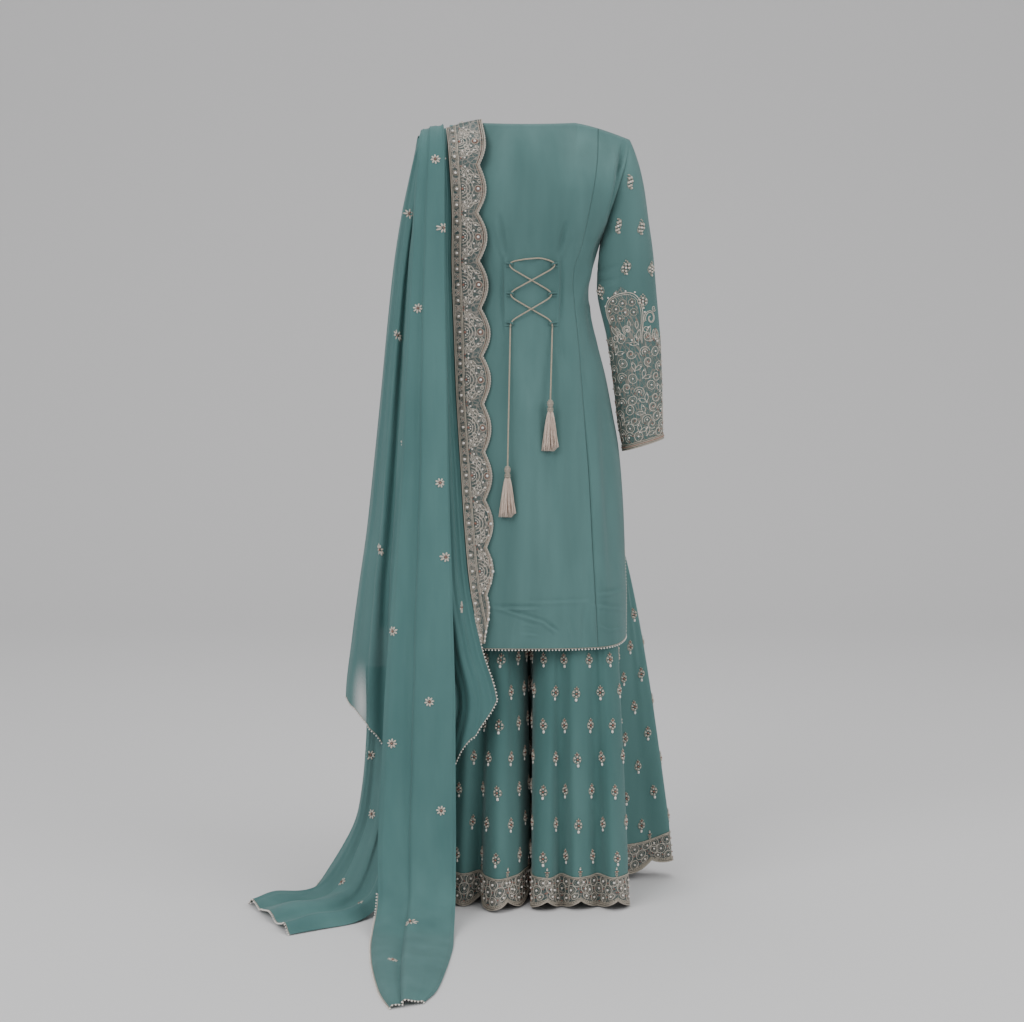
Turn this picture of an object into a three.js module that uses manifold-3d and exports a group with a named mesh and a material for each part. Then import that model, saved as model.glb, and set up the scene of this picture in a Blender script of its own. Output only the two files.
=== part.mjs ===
// A three-piece gharara suit, worn and seen from all round: a fitted back-laced kameez with long sleeves,
// a gharara with two gathered flares, and a dupatta over the left shoulder with its ends on the floor.
// Millimetres, +Z up. The origin is between the shoulders at the neck. The wearer's back faces -Y and the
// wearer's right hand is at +X. The floor is at z = FLOOR.
import * as THREE from "three";
import { mergeVertices } from "three/addons/utils/BufferGeometryUtils.js";
import Module from "manifold-3d";

const wasm = await Module();
wasm.setup();

// Walls of cloth, and the gaps that keep one piece clear of the next.
const FLOOR = -1440;
const SEAM_GAP = 0.3;
const KAMEEZ_WALL = 1.6;
const GHARARA_WALL = 1.6;
const DUPATTA_WALL = 1.2;
const BORDER_WALL = 1.8;
const EDGE_GAP = 1.3;
const DRAPE_CLEARANCE = 1.9;

// Colours, roughness of the cloth, the metallic thread and the silk tassels.
const TEAL = 0x4f7f7c;
const DEEP_TEAL = 0x477673;
const LIGHT_TEAL = 0x5b8d88;
const ZARI = 0x9a937f;
const CORD_COLOUR = 0xa89f8a;
const BLUSH = 0xd8c3b0;

// Shoulder and neck.
const NECK_HALF = 88;
const SHOULDER_HALF = 191;
const SHOULDER_Y = 6;
const SHOULDER_DROP = 31;
const NECK_BACK_DROP = 5;
const NECK_FRONT_DROP = 78;
const ARMPIT_Z = -221;
const ARMHOLE_ROWS = 6;
const KAMEEZ_HEM = -961;
const HEM_CORNER_RISE = 12;

// Half of the princess seam's gap and the side seam's gap, as shares of the half width.
const PRINCESS_GAP = 0.0015;
const ARMHOLE_EDGE_GAP = 0.004;
const SIDE_SEAM_GAP = 0.003;

// Heights of the kameez panels' rows from the armpit down; the first three lie at the lacing loops.
const SKIRT_HEIGHTS = [-221, -262, -316, -370, -440, -520, -610, -700, -790, -846, -904, -961];

// Half width, depth and side seam of the kameez by height; round is the power of the section's curve.
const KAMEEZ_LEVELS = [
  { z: -5, half: 191, back: 44, front: 58, backEdge: 0, frontEdge: 0, round: 2.2 },
  { z: -40, half: 186, back: 64, front: 76, backEdge: 0, frontEdge: 0, round: 2.2 },
  { z: -80, half: 180, back: 79, front: 94, backEdge: 0, frontEdge: 0, round: 2.2 },
  { z: -150, half: 159, back: 87, front: 114, backEdge: 0, frontEdge: 0, round: 2.2 },
  { z: -221, half: 136, back: 83, front: 117, backEdge: 0, frontEdge: 0, round: 2.2 },
  { z: -290, half: 117, back: 75, front: 102, backEdge: 0, frontEdge: 0, round: 2.2 },
  { z: -325, half: 115, back: 73, front: 95, backEdge: 0, frontEdge: 0, round: 2.2 },
  { z: -370, half: 122, back: 78, front: 93, backEdge: 0, frontEdge: 0, round: 2.2 },
  { z: -467, half: 146, back: 102, front: 100, backEdge: 0, frontEdge: 0, round: 2.2 },
  { z: -536, half: 159, back: 116, front: 105, backEdge: 0, frontEdge: 0, round: 2.2 },
  { z: -602, half: 171, back: 125, front: 110, backEdge: 0, frontEdge: 0, round: 2.2 },
  { z: -700, half: 180, back: 131, front: 118, backEdge: 0, frontEdge: 0, round: 2.3 },
  { z: -790, half: 184, back: 136, front: 128, backEdge: 0, frontEdge: 0, round: 2.4 },
  { z: -830, half: 185, back: 139, front: 133, backEdge: -16, frontEdge: 42, round: 2.5 },
  { z: -870, half: 186, back: 143, front: 140, backEdge: -30, frontEdge: 66, round: 2.5 },
  { z: -961, half: 185, back: 149, front: 152, backEdge: -50, frontEdge: 88, round: 2.6 },
];

// The armhole seam from the shoulder point to the armpit.
const ARMHOLE_BACK_DEPTH = 34;
const ARMHOLE_FRONT_DEPTH = 36;
const ARMHOLE = [
  { z: -31, x: 191 },
  { z: -77, x: 182 },
  { z: -106, x: 173 },
  { z: -150, x: 159 },
  { z: -221, x: 136 },
];

// The princess seam of the back, from the shoulder to the hem.
const PRINCESS = [
  { z: -5, x: 132 },
  { z: -65, x: 129 },
  { z: -137, x: 118 },
  { z: -222, x: 101 },
  { z: -281, x: 85 },
  { z: -381, x: 90 },
  { z: -602, x: 111 },
  { z: -807, x: 122 },
  { z: -961, x: 130 },
];

// Right sleeve, from just under its cap to the cuff: inner and outer edge, depth and centre line in y.
const SLEEVE_LEVELS = [
  { innerX: 136, innerZ: -222, outerX: 192, outerZ: -31, depth: 35, y: 1 },
  { innerX: 135, innerZ: -234, outerX: 204, outerZ: -63, depth: 38, y: 1 },
  { innerX: 133, innerZ: -248, outerX: 217, outerZ: -116, depth: 40, y: 1 },
  { innerX: 131, innerZ: -268, outerX: 227, outerZ: -184, depth: 41, y: 2 },
  { innerX: 130, innerZ: -296, outerX: 235, outerZ: -240, depth: 41, y: 2 },
  { innerX: 133, innerZ: -330, outerX: 241, outerZ: -306, depth: 40, y: 3 },
  { innerX: 150, innerZ: -402, outerX: 249, outerZ: -392, depth: 39, y: 6 },
  { innerX: 162, innerZ: -484, outerX: 253, outerZ: -474, depth: 38, y: 9 },
  { innerX: 171, innerZ: -558, outerX: 255, outerZ: -540, depth: 36, y: 12 },
  { innerX: 181, innerZ: -609, outerX: 256, outerZ: -585, depth: 34, y: 14 },
];
const CAP_OUT = 1.7;
const SLEEVE_AROUND = 2 * ARMHOLE_ROWS;
const SLEEVE_ALONG = 12;

// Gharara: the waistband and the upper legs, hidden under the kameez.
const WAIST_TOP = -345;
const WAIST_SEAM = -375;
const CROTCH_TOP = -520;
const CROTCH_END = -650;
const FLARE_SEAM = -780;
const INNER_LEG_X = 3;
const HIP_LEVELS = [
  { z: -345, half: 109, back: 66, front: 84, legBack: 60, legFront: 76 },
  { z: -375, half: 113, back: 70, front: 84, legBack: 62, legFront: 76 },
  { z: -420, half: 124, back: 82, front: 86, legBack: 72, legFront: 76 },
  { z: -467, half: 137, back: 94, front: 90, legBack: 80, legFront: 76 },
  { z: -536, half: 149, back: 106, front: 94, legBack: 88, legFront: 78 },
  { z: -602, half: 168.4, back: 121, front: 103, legBack: 92, legFront: 80 },
  { z: -650, half: 172.9, back: 122, front: 104, legBack: 95, legFront: 84 },
  { z: -780, half: 173, back: 116, front: 104, legBack: 106, legFront: 97 },
];

// The flare's folded outline at its hem, a row for each ridge, flank and valley, from the inner leg round
// the back to the side and the front. The last column lifts the hem off the floor.
const RIGHT_HEM = [
  { x: 6, y: -20, lift: 6 },
  { x: 20, y: -78, lift: 6 },
  { x: 8, y: -138, lift: 5 },
  { x: 14, y: -186, lift: 3 },
  { x: 40, y: -196, lift: 2 },
  { x: 63, y: -160, lift: 3 },
  { x: 88, y: -190, lift: 2 },
  { x: 112, y: -178, lift: 2 },
  { x: 130, y: -158, lift: 3 },
  { x: 158, y: -192, lift: 2 },
  { x: 187, y: -160, lift: 3 },
  { x: 170, y: -84, lift: 6 },
  { x: 172, y: 12, lift: 12 },
  { x: 228, y: 44, lift: 16 },
  { x: 281, y: 54, lift: 34 },
  { x: 268, y: 92, lift: 22 },
  { x: 216, y: 92, lift: 10 },
  { x: 206, y: 146, lift: 4 },
  { x: 168, y: 132, lift: 3 },
  { x: 142, y: 182, lift: 2 },
  { x: 106, y: 150, lift: 3 },
  { x: 76, y: 194, lift: 2 },
  { x: 44, y: 156, lift: 3 },
  { x: 16, y: 172, lift: 2 },
  { x: 8, y: 120, lift: 4 },
  { x: -8, y: 50, lift: 6 },
];
const LEFT_HEM = [
  { x: 8, y: -24, lift: 6 },
  { x: -8, y: -80, lift: 6 },
  { x: 6, y: -142, lift: 5 },
  { x: 22, y: -178, lift: 3 },
  { x: 54, y: -206, lift: 2 },
  { x: 78, y: -176, lift: 3 },
  { x: 88, y: -136, lift: 4 },
  { x: 118, y: -158, lift: 2 },
  { x: 142, y: -142, lift: 3 },
  { x: 168, y: -176, lift: 2 },
  { x: 192, y: -140, lift: 3 },
  { x: 186, y: -78, lift: 6 },
  { x: 196, y: -20, lift: 8 },
  { x: 236, y: -4, lift: 10 },
  { x: 274, y: 28, lift: 12 },
  { x: 262, y: 78, lift: 10 },
  { x: 218, y: 88, lift: 6 },
  { x: 204, y: 140, lift: 4 },
  { x: 170, y: 128, lift: 3 },
  { x: 138, y: 178, lift: 2 },
  { x: 104, y: 148, lift: 3 },
  { x: 78, y: 190, lift: 2 },
  { x: 46, y: 152, lift: 3 },
  { x: 17, y: 170, lift: 2 },
  { x: 6, y: 116, lift: 4 },
  { x: 20, y: 50, lift: 6 },
];
const SCALLOPS_PER_LEG = 14;
const SCALLOP_STEPS = 6;
const SCALLOP_DEPTH = 18;
const HEM_BAND = 42;
const FLARE_ROWS = 5;
const WIDTH_EASE = 0.74;
const DEPTH_EASE = 1.12;

// Back fall of the dupatta: its left edge, and its right edge that carries the border.
const BACK_FALL = [
  { z: 4, leftX: -199, leftY: 2, rightX: -150, rightY: -2, swell: 0 },
  { z: -50, leftX: -207, leftY: -8, rightX: -145, rightY: -66, swell: 16 },
  { z: -100, leftX: -218, leftY: -10, rightX: -141, rightY: -78, swell: 26 },
  { z: -170, leftX: -233, leftY: -12, rightX: -138, rightY: -74, swell: 32 },
  { z: -257, leftX: -247, leftY: -14, rightX: -139, rightY: -62, swell: 38 },
  { z: -363, leftX: -259, leftY: -18, rightX: -136, rightY: -60, swell: 42 },
  { z: -507, leftX: -273, leftY: -26, rightX: -130, rightY: -76, swell: 44 },
  { z: -634, leftX: -286, leftY: -36, rightX: -122, rightY: -104, swell: 44 },
  { z: -755, leftX: -299, leftY: -48, rightX: -114, rightY: -124, swell: 46 },
  { z: -853, leftX: -313, leftY: -58, rightX: -104, rightY: -140, swell: 48 },
  { z: -958, leftX: -327, leftY: -66, rightX: -82, rightY: -156, swell: 48 },
  { z: -1060, leftX: -338, leftY: -72, rightX: -54, rightY: -172, swell: 46 },
  { z: -1150, leftX: -330, leftY: -84, rightX: -78, rightY: -182, swell: 44 },
  { z: -1250, leftX: -318, leftY: -96, rightX: -104, rightY: -194, swell: 40 },
];
const BACK_FOLDS = [
  { across: 0, lift: 0 },
  { across: 0.07, lift: 0.42 },
  { across: 0.17, lift: 0.66 },
  { across: 0.27, lift: 0.4 },
  { across: 0.34, lift: 0.82 },
  { across: 0.46, lift: 0.95 },
  { across: 0.54, lift: 0.55 },
  { across: 0.62, lift: 0.86 },
  { across: 0.71, lift: 0.62 },
  { across: 0.75, lift: 0.2 },
  { across: 0.83, lift: 0.52 },
  { across: 0.91, lift: 0.12 },
  { across: 1, lift: 0 },
];
const BACK_FALL_TOP = 5;
const BACK_ROW_EASE = 1.04;
const BACK_HEM = [
  { across: 0, z: -1062 },
  { across: 0.08, z: -1086 },
  { across: 0.2, z: -1122 },
  { across: 0.36, z: -1180 },
  { across: 0.55, z: -1236 },
  { across: 0.7, z: -1238 },
  { across: 0.78, z: -1190 },
  { across: 0.84, z: -1136 },
  { across: 0.9, z: -1110 },
  { across: 1, z: -1052 },
];

// Scalloped border along the dupatta's edge: its outer line through the notches, and how far it stands out.
const BORDER_LINE = [
  { z: 4, x: -84, y: -4, scallop: 4 },
  { z: -50, x: -86, y: -70, scallop: 10 },
  { z: -140, x: -90, y: -87, scallop: 15 },
  { z: -235, x: -88, y: -82, scallop: 15 },
  { z: -330, x: -85, y: -69, scallop: 14 },
  { z: -410, x: -82, y: -81, scallop: 15 },
  { z: -500, x: -80, y: -103, scallop: 13 },
  { z: -570, x: -78, y: -116, scallop: 12 },
  { z: -720, x: -76, y: -130, scallop: 13 },
  { z: -800, x: -74, y: -137, scallop: 12 },
  { z: -870, x: -74, y: -145, scallop: 8 },
  { z: -952, x: -78, y: -156, scallop: 0 },
];
const BORDER_TOP = 6;
const BORDER_END = -950;
const BORDER_SCALLOPS = 11;

// Centre fall: the layer nearest to the viewer, down to the floor and out along it.
const CENTRE_FALL = [
  { z: 4.3, y: -3, leftX: -188, rightX: -156, leftBack: 0, rightBack: 0, rise: 0 },
  { z: 0, y: -46, leftX: -194, rightX: -153, leftBack: 4, rightBack: 0, rise: 2 },
  { z: -60, y: -84, leftX: -200, rightX: -150, leftBack: 6, rightBack: -6, rise: 3 },
  { z: -170, y: -104, leftX: -208, rightX: -150, leftBack: 14, rightBack: -2, rise: 5 },
  { z: -310, y: -106, leftX: -216, rightX: -149, leftBack: 14, rightBack: 2, rise: 6 },
  { z: -480, y: -120, leftX: -226, rightX: -146, leftBack: 14, rightBack: 0, rise: 7 },
  { z: -630, y: -138, leftX: -231, rightX: -143, leftBack: 14, rightBack: -2, rise: 8 },
  { z: -865, y: -170, leftX: -247, rightX: -136, leftBack: 14, rightBack: -6, rise: 9 },
  { z: -1030, y: -192, leftX: -259, rightX: -131, leftBack: 14, rightBack: -8, rise: 10 },
  { z: -1170, y: -210, leftX: -265, rightX: -130, leftBack: 10, rightBack: -6, rise: 11 },
  { z: -1300, y: -240, leftX: -270, rightX: -129, leftBack: 4, rightBack: 0, rise: 11 },
  { z: -1392, y: -288, leftX: -268, rightX: -129, leftBack: 0, rightBack: 0, rise: 10 },
  { z: -1431, y: -360, leftX: -273, rightX: -130, leftBack: 4, rightBack: 0, rise: 9 },
  { z: -1437.5, y: -440, leftX: -272, rightX: -130, leftBack: 8, rightBack: 0, rise: 10 },
  { z: -1437.5, y: -560, leftX: -262, rightX: -138, leftBack: 6, rightBack: -6, rise: 11 },
  { z: -1437.5, y: -680, leftX: -243, rightX: -150, leftBack: -8, rightBack: 0, rise: 9 },
  { z: -1437.5, y: -756, leftX: -222, rightX: -168, leftBack: -16, rightBack: 14, rise: 5 },
];
const CENTRE_FOLDS = [
  { across: 0, lift: 0 },
  { across: 0.1, lift: 0.75 },
  { across: 0.26, lift: 0.6 },
  { across: 0.41, lift: 0.1 },
  { across: 0.47, lift: 1 },
  { across: 0.66, lift: 0.75 },
  { across: 0.88, lift: 0.6 },
  { across: 1, lift: 0 },
];

// Side tail: the far corner of the cloth, a little under the back fall and out along the floor to the left.
const SIDE_TAIL = [
  { z: -1000, leftX: -298, leftY: -64, rightX: -236, rightY: -84, rise: 6 },
  { z: -1080, leftX: -298, leftY: -70, rightX: -236, rightY: -92, rise: 7 },
  { z: -1140, leftX: -300, leftY: -78, rightX: -238, rightY: -102, rise: 8 },
  { z: -1230, leftX: -308, leftY: -92, rightX: -240, rightY: -128, rise: 10 },
  { z: -1300, leftX: -324, leftY: -98, rightX: -244, rightY: -158, rise: 11 },
  { z: -1385, leftX: -372, leftY: -96, rightX: -256, rightY: -196, rise: 14 },
  { z: -1426, leftX: -404, leftY: -100, rightX: -276, rightY: -226, rise: 18 },
  { z: -1437.5, leftX: -438, leftY: -102, rightX: -312, rightY: -276, rise: 20 },
  { z: -1437.5, leftX: -480, leftY: -108, rightX: -372, rightY: -318, rise: 22 },
  { z: -1437.5, leftX: -514, leftY: -140, rightX: -420, rightY: -352, rise: 14 },
];
const TAIL_FOLDS = [
  { across: 0, lift: 0 },
  { across: 0.14, lift: 0.8 },
  { across: 0.32, lift: 0.2 },
  { across: 0.5, lift: 1 },
  { across: 0.7, lift: 0.25 },
  { across: 0.87, lift: 0.75 },
  { across: 1, lift: 0 },
];
const TAIL_UNDER = 4.8;

// Front fall: the end that hangs over the chest, from the shoulder to its straight hem.
const FRONT_FALL = [
  { z: 2.2, leftX: -198, leftY: 6, rightX: -86, rightY: 4, rise: 0 },
  { z: 0, leftX: -203, leftY: 27, rightX: -86, rightY: 46, rise: 5 },
  { z: -50, leftX: -210, leftY: 42, rightX: -84, rightY: 94, rise: 16 },
  { z: -140, leftX: -224, leftY: 48, rightX: -80, rightY: 120, rise: 20 },
  { z: -260, leftX: -240, leftY: 52, rightX: -78, rightY: 124, rise: 22 },
  { z: -420, leftX: -256, leftY: 56, rightX: -74, rightY: 118, rise: 22 },
  { z: -600, leftX: -268, leftY: 64, rightX: -70, rightY: 124, rise: 24 },
  { z: -780, leftX: -276, leftY: 84, rightX: -66, rightY: 142, rise: 26 },
  { z: -960, leftX: -286, leftY: 110, rightX: -62, rightY: 164, rise: 28 },
];
const FRONT_FOLDS = [
  { across: 0, lift: 0 },
  { across: 0.12, lift: 0.7 },
  { across: 0.24, lift: 0.3 },
  { across: 0.38, lift: 0.9 },
  { across: 0.5, lift: 0.35 },
  { across: 0.64, lift: 0.85 },
  { across: 0.78, lift: 0.3 },
  { across: 0.9, lift: 0.55 },
  { across: 1, lift: 0 },
];

// Lacing at the back waist: loops, the laced cord and its two hanging ends.
const CORD_DIAMETER = 2.8;
const CORD_OFF_CLOTH = 3.5;
const LOOP_TUBE = 2.2;
const LOOP_HALF = 5;
const LOOP_STAND = 6.4;
const LOOPS = [
  { name: "lace_loop_left_top", x: -32, z: -262 },
  { name: "lace_loop_left_middle", x: -30, z: -316 },
  { name: "lace_loop_left_bottom", x: -31, z: -370 },
  { name: "lace_loop_right_top", x: 50, z: -262 },
  { name: "lace_loop_right_middle", x: 44, z: -316 },
  { name: "lace_loop_right_bottom", x: 46, z: -370 },
];
const LACE_ENDS = [
  { name: "left", loop: 2, bottomX: -36, bottomZ: -626 },
  { name: "right", loop: 5, bottomX: 42, bottomZ: -506 },
];
const LOOP_REACH = 5;
const CROSSING_OVER = 3.6;
const BOW_RISE = 9;

// Tassels: the head's outline from its top down, and the strands under it.
const TASSEL_HEAD = 20;
const TASSEL_HEAD_RADIUS = 5.5;
const TASSEL_PROFILE = [
  { radius: 0, down: 0 },
  { radius: 2.4, down: 0 },
  { radius: TASSEL_HEAD_RADIUS, down: 6 },
  { radius: 3.6, down: 11 },
  { radius: TASSEL_HEAD_RADIUS, down: TASSEL_HEAD },
  { radius: 0, down: TASSEL_HEAD },
];
const STRAND_THICKNESS = 1.1;
const TASSEL_LENGTH = 76;
const TASSEL_SPREAD = 16;
const TASSEL_DEPTH = 7;
const TASSEL_OFF_CLOTH = 6;
const TASSEL_STRANDS = 28;

const lerp = THREE.MathUtils.lerp;
const smoothstep = THREE.MathUtils.smoothstep;

// One column of a table at any place of its key column, by a smooth curve through the rows.
function column(rows, key, name, at) {
  const falling = rows[0][key] > rows[rows.length - 1][key];
  const place = (row) => (falling ? -row[key] : row[key]);
  const wanted = falling ? -at : at;
  let k = 0;
  while (k < rows.length - 2 && place(rows[k + 1]) < wanted) k += 1;
  const before = rows[Math.max(k - 1, 0)];
  const after = rows[Math.min(k + 2, rows.length - 1)];
  const [low, high] = [rows[k], rows[k + 1]];
  const span = place(high) - place(low);
  const f = THREE.MathUtils.clamp((wanted - place(low)) / span, 0, 1);
  const lowSlope = ((high[name] - before[name]) / (place(high) - place(before))) * span;
  const highSlope = ((after[name] - low[name]) / (place(after) - place(low))) * span;
  const f2 = f * f;
  const f3 = f2 * f;
  return (
    (2 * f3 - 3 * f2 + 1) * low[name] +
    (f3 - 2 * f2 + f) * lowSlope +
    (3 * f2 - 2 * f3) * high[name] +
    (f3 - f2) * highSlope
  );
}

// The same, for tables whose rows are evenly spaced from 0 to 1.
function rowColumn(rows, name, at) {
  const indexed = rows.map((row, index) => ({ index, value: row[name] }));
  return column(indexed, "index", "value", at * (rows.length - 1));
}

// The way out of the cloth, from the surface's two directions.
function outward(surface, a, b, closed) {
  const step = 0.004;
  const a0 = closed ? a - step : Math.max(a - step, 0);
  const a1 = closed ? a + step : Math.min(a + step, 1);
  const b0 = Math.max(b - step, 0);
  const b1 = Math.min(b + step, 1);
  const across = surface(a1, b).sub(surface(a0, b));
  const along = surface(a, b1).sub(surface(a, b0));
  return along.cross(across).normalize();
}

// A cloth wall: a grid of points on the surface, its copy one thickness inside, and the rims between them.
// Across runs counter-clockwise seen from above, and along runs down. A wall whose top edge is a shoulder
// seam has its thickness straight down there, so that the two panels meet edge to edge.
function clothWall(surface, across, along, thickness, { closed = false, shoulder = false } = {}) {
  const columns = closed ? across : across + 1;
  const positions = [];
  const inner = [];
  for (let j = 0; j <= along; j += 1) {
    for (let i = 0; i < columns; i += 1) {
      const point = surface(i / across, j / along);
      const normal = outward(surface, i / across, j / along, closed);
      if (shoulder && j === 0) normal.set(0, 0, 1);
      positions.push(...point.toArray());
      inner.push(...point.addScaledVector(normal, -thickness).toArray());
    }
  }
  positions.push(...inner);
  const layer = columns * (along + 1);
  const at = (i, j) => j * columns + (i % columns);
  const faces = [];
  const quad = (p, q, r, s) => faces.push(p, q, r, p, r, s);
  for (let j = 0; j < along; j += 1) {
    for (let i = 0; i < across; i += 1) {
      quad(at(i, j), at(i, j + 1), at(i + 1, j + 1), at(i + 1, j));
      quad(layer + at(i, j), layer + at(i + 1, j), layer + at(i + 1, j + 1), layer + at(i, j + 1));
    }
  }
  for (let i = 0; i < across; i += 1) {
    quad(at(i, 0), at(i + 1, 0), layer + at(i + 1, 0), layer + at(i, 0));
    quad(at(i + 1, along), at(i, along), layer + at(i, along), layer + at(i + 1, along));
  }
  if (!closed) {
    for (let j = 0; j < along; j += 1) {
      quad(at(0, j), layer + at(0, j), layer + at(0, j + 1), at(0, j + 1));
      quad(at(across, j + 1), layer + at(across, j + 1), layer + at(across, j), at(across, j));
    }
  }
  const geometry = new THREE.BufferGeometry();
  geometry.setAttribute("position", new THREE.Float32BufferAttribute(positions, 3));
  geometry.setIndex(faces);
  geometry.computeVertexNormals();
  return geometry;
}

// A surface mirrored to the wearer's other side, still running counter-clockwise.
function mirrored(surface) {
  return (a, b) => {
    const point = surface(1 - a, b);
    point.x = -point.x;
    return point;
  };
}

function tube(points, diameter, sides, steps) {
  const section = new THREE.Shape();
  for (let k = 0; k < sides; k += 1) {
    const angle = (2 * Math.PI * k) / sides;
    const x = (diameter / 2) * Math.cos(angle);
    const y = (diameter / 2) * Math.sin(angle);
    if (k === 0) section.moveTo(x, y);
    else section.lineTo(x, y);
  }
  section.closePath();
  const path = new THREE.CatmullRomCurve3(points);
  return new THREE.ExtrudeGeometry(section, { steps, bevelEnabled: false, extrudePath: path });
}

function solid(geometry) {
  const bare = geometry.index ? geometry.toNonIndexed() : geometry.clone();
  for (const name of Object.keys(bare.attributes)) {
    if (name !== "position") bare.deleteAttribute(name);
  }
  const merged = mergeVertices(bare, 1e-3);
  const vertProperties = merged.attributes.position.array;
  const triVerts = new Uint32Array(merged.index.array);
  return new wasm.Manifold(new wasm.Mesh({ numProp: 3, vertProperties, triVerts }));
}

function geometryOf(made) {
  const mesh = made.getMesh();
  const geometry = new THREE.BufferGeometry();
  geometry.setAttribute("position", new THREE.BufferAttribute(mesh.vertProperties, 3));
  geometry.setIndex(new THREE.BufferAttribute(mesh.triVerts, 1));
  geometry.computeVertexNormals();
  return geometry;
}

// Kameez. The row number goes from 0 at the shoulder, through 1 at the armpit, to 2 at the hem.
function armholePoint(front, row) {
  const z = lerp(-SHOULDER_DROP, ARMPIT_Z, row);
  const depth = front ? ARMHOLE_FRONT_DEPTH : -ARMHOLE_BACK_DEPTH;
  const y = SHOULDER_Y * (1 - row) + depth * Math.sin(Math.PI * row);
  return new THREE.Vector3(column(ARMHOLE, "z", "x", z), y, z);
}

function shoulderZ(x, neckDrop) {
  const off = Math.abs(x);
  if (off < NECK_HALF) return -neckDrop * (1 - (off / NECK_HALF) ** 2);
  return -SHOULDER_DROP * ((off - NECK_HALF) / (SHOULDER_HALF - NECK_HALF)) ** 1.35;
}

function kameezPoint(front, side, row) {
  const yard = front ? 1 : -1;
  const depthName = front ? "front" : "back";
  const neckDrop = front ? NECK_FRONT_DROP : NECK_BACK_DROP;
  const above = row < 1;
  const centreZ = above ? lerp(-neckDrop, ARMPIT_Z, row) : lerp(ARMPIT_Z, KAMEEZ_HEM, row - 1);
  const open = column(KAMEEZ_LEVELS, "z", front ? "frontEdge" : "backEdge", centreZ);
  const half = column(KAMEEZ_LEVELS, "z", "half", centreZ);
  const edge = above
    ? armholePoint(front, row)
    : new THREE.Vector3(half, yard * Math.max(yard * open, 0), centreZ);
  const round = column(KAMEEZ_LEVELS, "z", "round", centreZ);
  const depth = column(KAMEEZ_LEVELS, "z", depthName, centreZ);
  const turn = (Math.PI / 2) * side;
  const reach = Math.sign(side) * Math.abs(Math.sin(turn)) ** (2 / round);
  const fullness = Math.max(Math.cos(turn), 0) ** (2 / round);
  const x = edge.x * reach;
  const body = new THREE.Vector3(
    x,
    edge.y + (yard * depth - edge.y) * fullness,
    centreZ + (edge.z - centreZ) * Math.abs(reach) ** 2,
  );
  const topX = SHOULDER_HALF * reach;
  const neckCurve = Math.max(1 - (topX / (NECK_HALF + 6)) ** 2, 0);
  const lowered = lerp(centreZ + neckDrop, edge.z + SHOULDER_DROP, reach ** 2);
  const top = new THREE.Vector3(
    x,
    edge.y + (yard * (depth + 4) - edge.y) * neckCurve,
    shoulderZ(topX, neckDrop) + lowered,
  );
  const point = top.lerp(body, smoothstep(row, 0, 0.55));
  if (row > 1) point.z += HEM_CORNER_RISE * Math.abs(reach) ** 14 * smoothstep(row, 1.93, 2);
  return point;
}

// Side number of the princess seam: the place across the back where the seam's x lies.
function princessSide(row) {
  const z = row < 1 ? lerp(-NECK_BACK_DROP, ARMPIT_Z, row) : lerp(ARMPIT_Z, KAMEEZ_HEM, row - 1);
  const half = row < 1 ? armholePoint(false, row).x : column(KAMEEZ_LEVELS, "z", "half", z);
  const round = column(KAMEEZ_LEVELS, "z", "round", z);
  const ratio = column(PRINCESS, "z", "x", z) / half;
  return (Math.asin(ratio ** (round / 2)) * 2) / Math.PI;
}

const KAMEEZ_ROWS = ARMHOLE_ROWS + SKIRT_HEIGHTS.length - 1;
function kameezRow(b) {
  const step = b * KAMEEZ_ROWS;
  if (step < ARMHOLE_ROWS) return step / ARMHOLE_ROWS;
  const below = Math.min(step - ARMHOLE_ROWS, SKIRT_HEIGHTS.length - 1);
  const k = Math.min(Math.floor(below), SKIRT_HEIGHTS.length - 2);
  const z = lerp(SKIRT_HEIGHTS[k], SKIRT_HEIGHTS[k + 1], below - k);
  return 1 + (z - ARMPIT_Z) / (KAMEEZ_HEM - ARMPIT_Z);
}

function centreBack(a, b) {
  const row = kameezRow(b);
  const limit = princessSide(row) - PRINCESS_GAP;
  return kameezPoint(false, lerp(-limit, limit, a), row);
}

function sideBackRight(a, b) {
  const row = kameezRow(b);
  const start = princessSide(row) + PRINCESS_GAP;
  return kameezPoint(false, lerp(start, 1 - sideSeam(row), a), row);
}

// The side seam is open by a hair below the armpit, and the armhole edge stands clear of the sleeve above it.
function sideSeam(row) {
  return row < 1 ? ARMHOLE_EDGE_GAP : SIDE_SEAM_GAP;
}

function frontPanel(a, b) {
  const row = kameezRow(b);
  const limit = 1 - sideSeam(row);
  const point = kameezPoint(true, lerp(limit, -limit, a), row);
  if (row === 0) point.y += SEAM_GAP;
  return point;
}

// Right sleeve: round from the shoulder point by the front, the armpit and the back.
function rightSleeve(a, b) {
  const angle = 2 * Math.PI * a;
  const front = Math.sin(angle) >= 0;
  const level = (name) => rowColumn(SLEEVE_LEVELS, name, b);
  const inner = new THREE.Vector3(level("innerX"), level("y"), level("innerZ"));
  const outer = new THREE.Vector3(level("outerX"), level("y"), level("outerZ"));
  const point = inner.clone().lerp(outer, (1 + Math.cos(angle)) / 2);
  point.y += level("depth") * Math.sin(angle);
  const around = front ? 2 * a : 2 * (1 - a);
  const cap = armholePoint(front, Math.min(Math.max(around, 0), 1));
  cap.x += CAP_OUT;
  cap.z -= SEAM_GAP;
  return cap.lerp(point, smoothstep(b, 0, 0.16));
}

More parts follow.
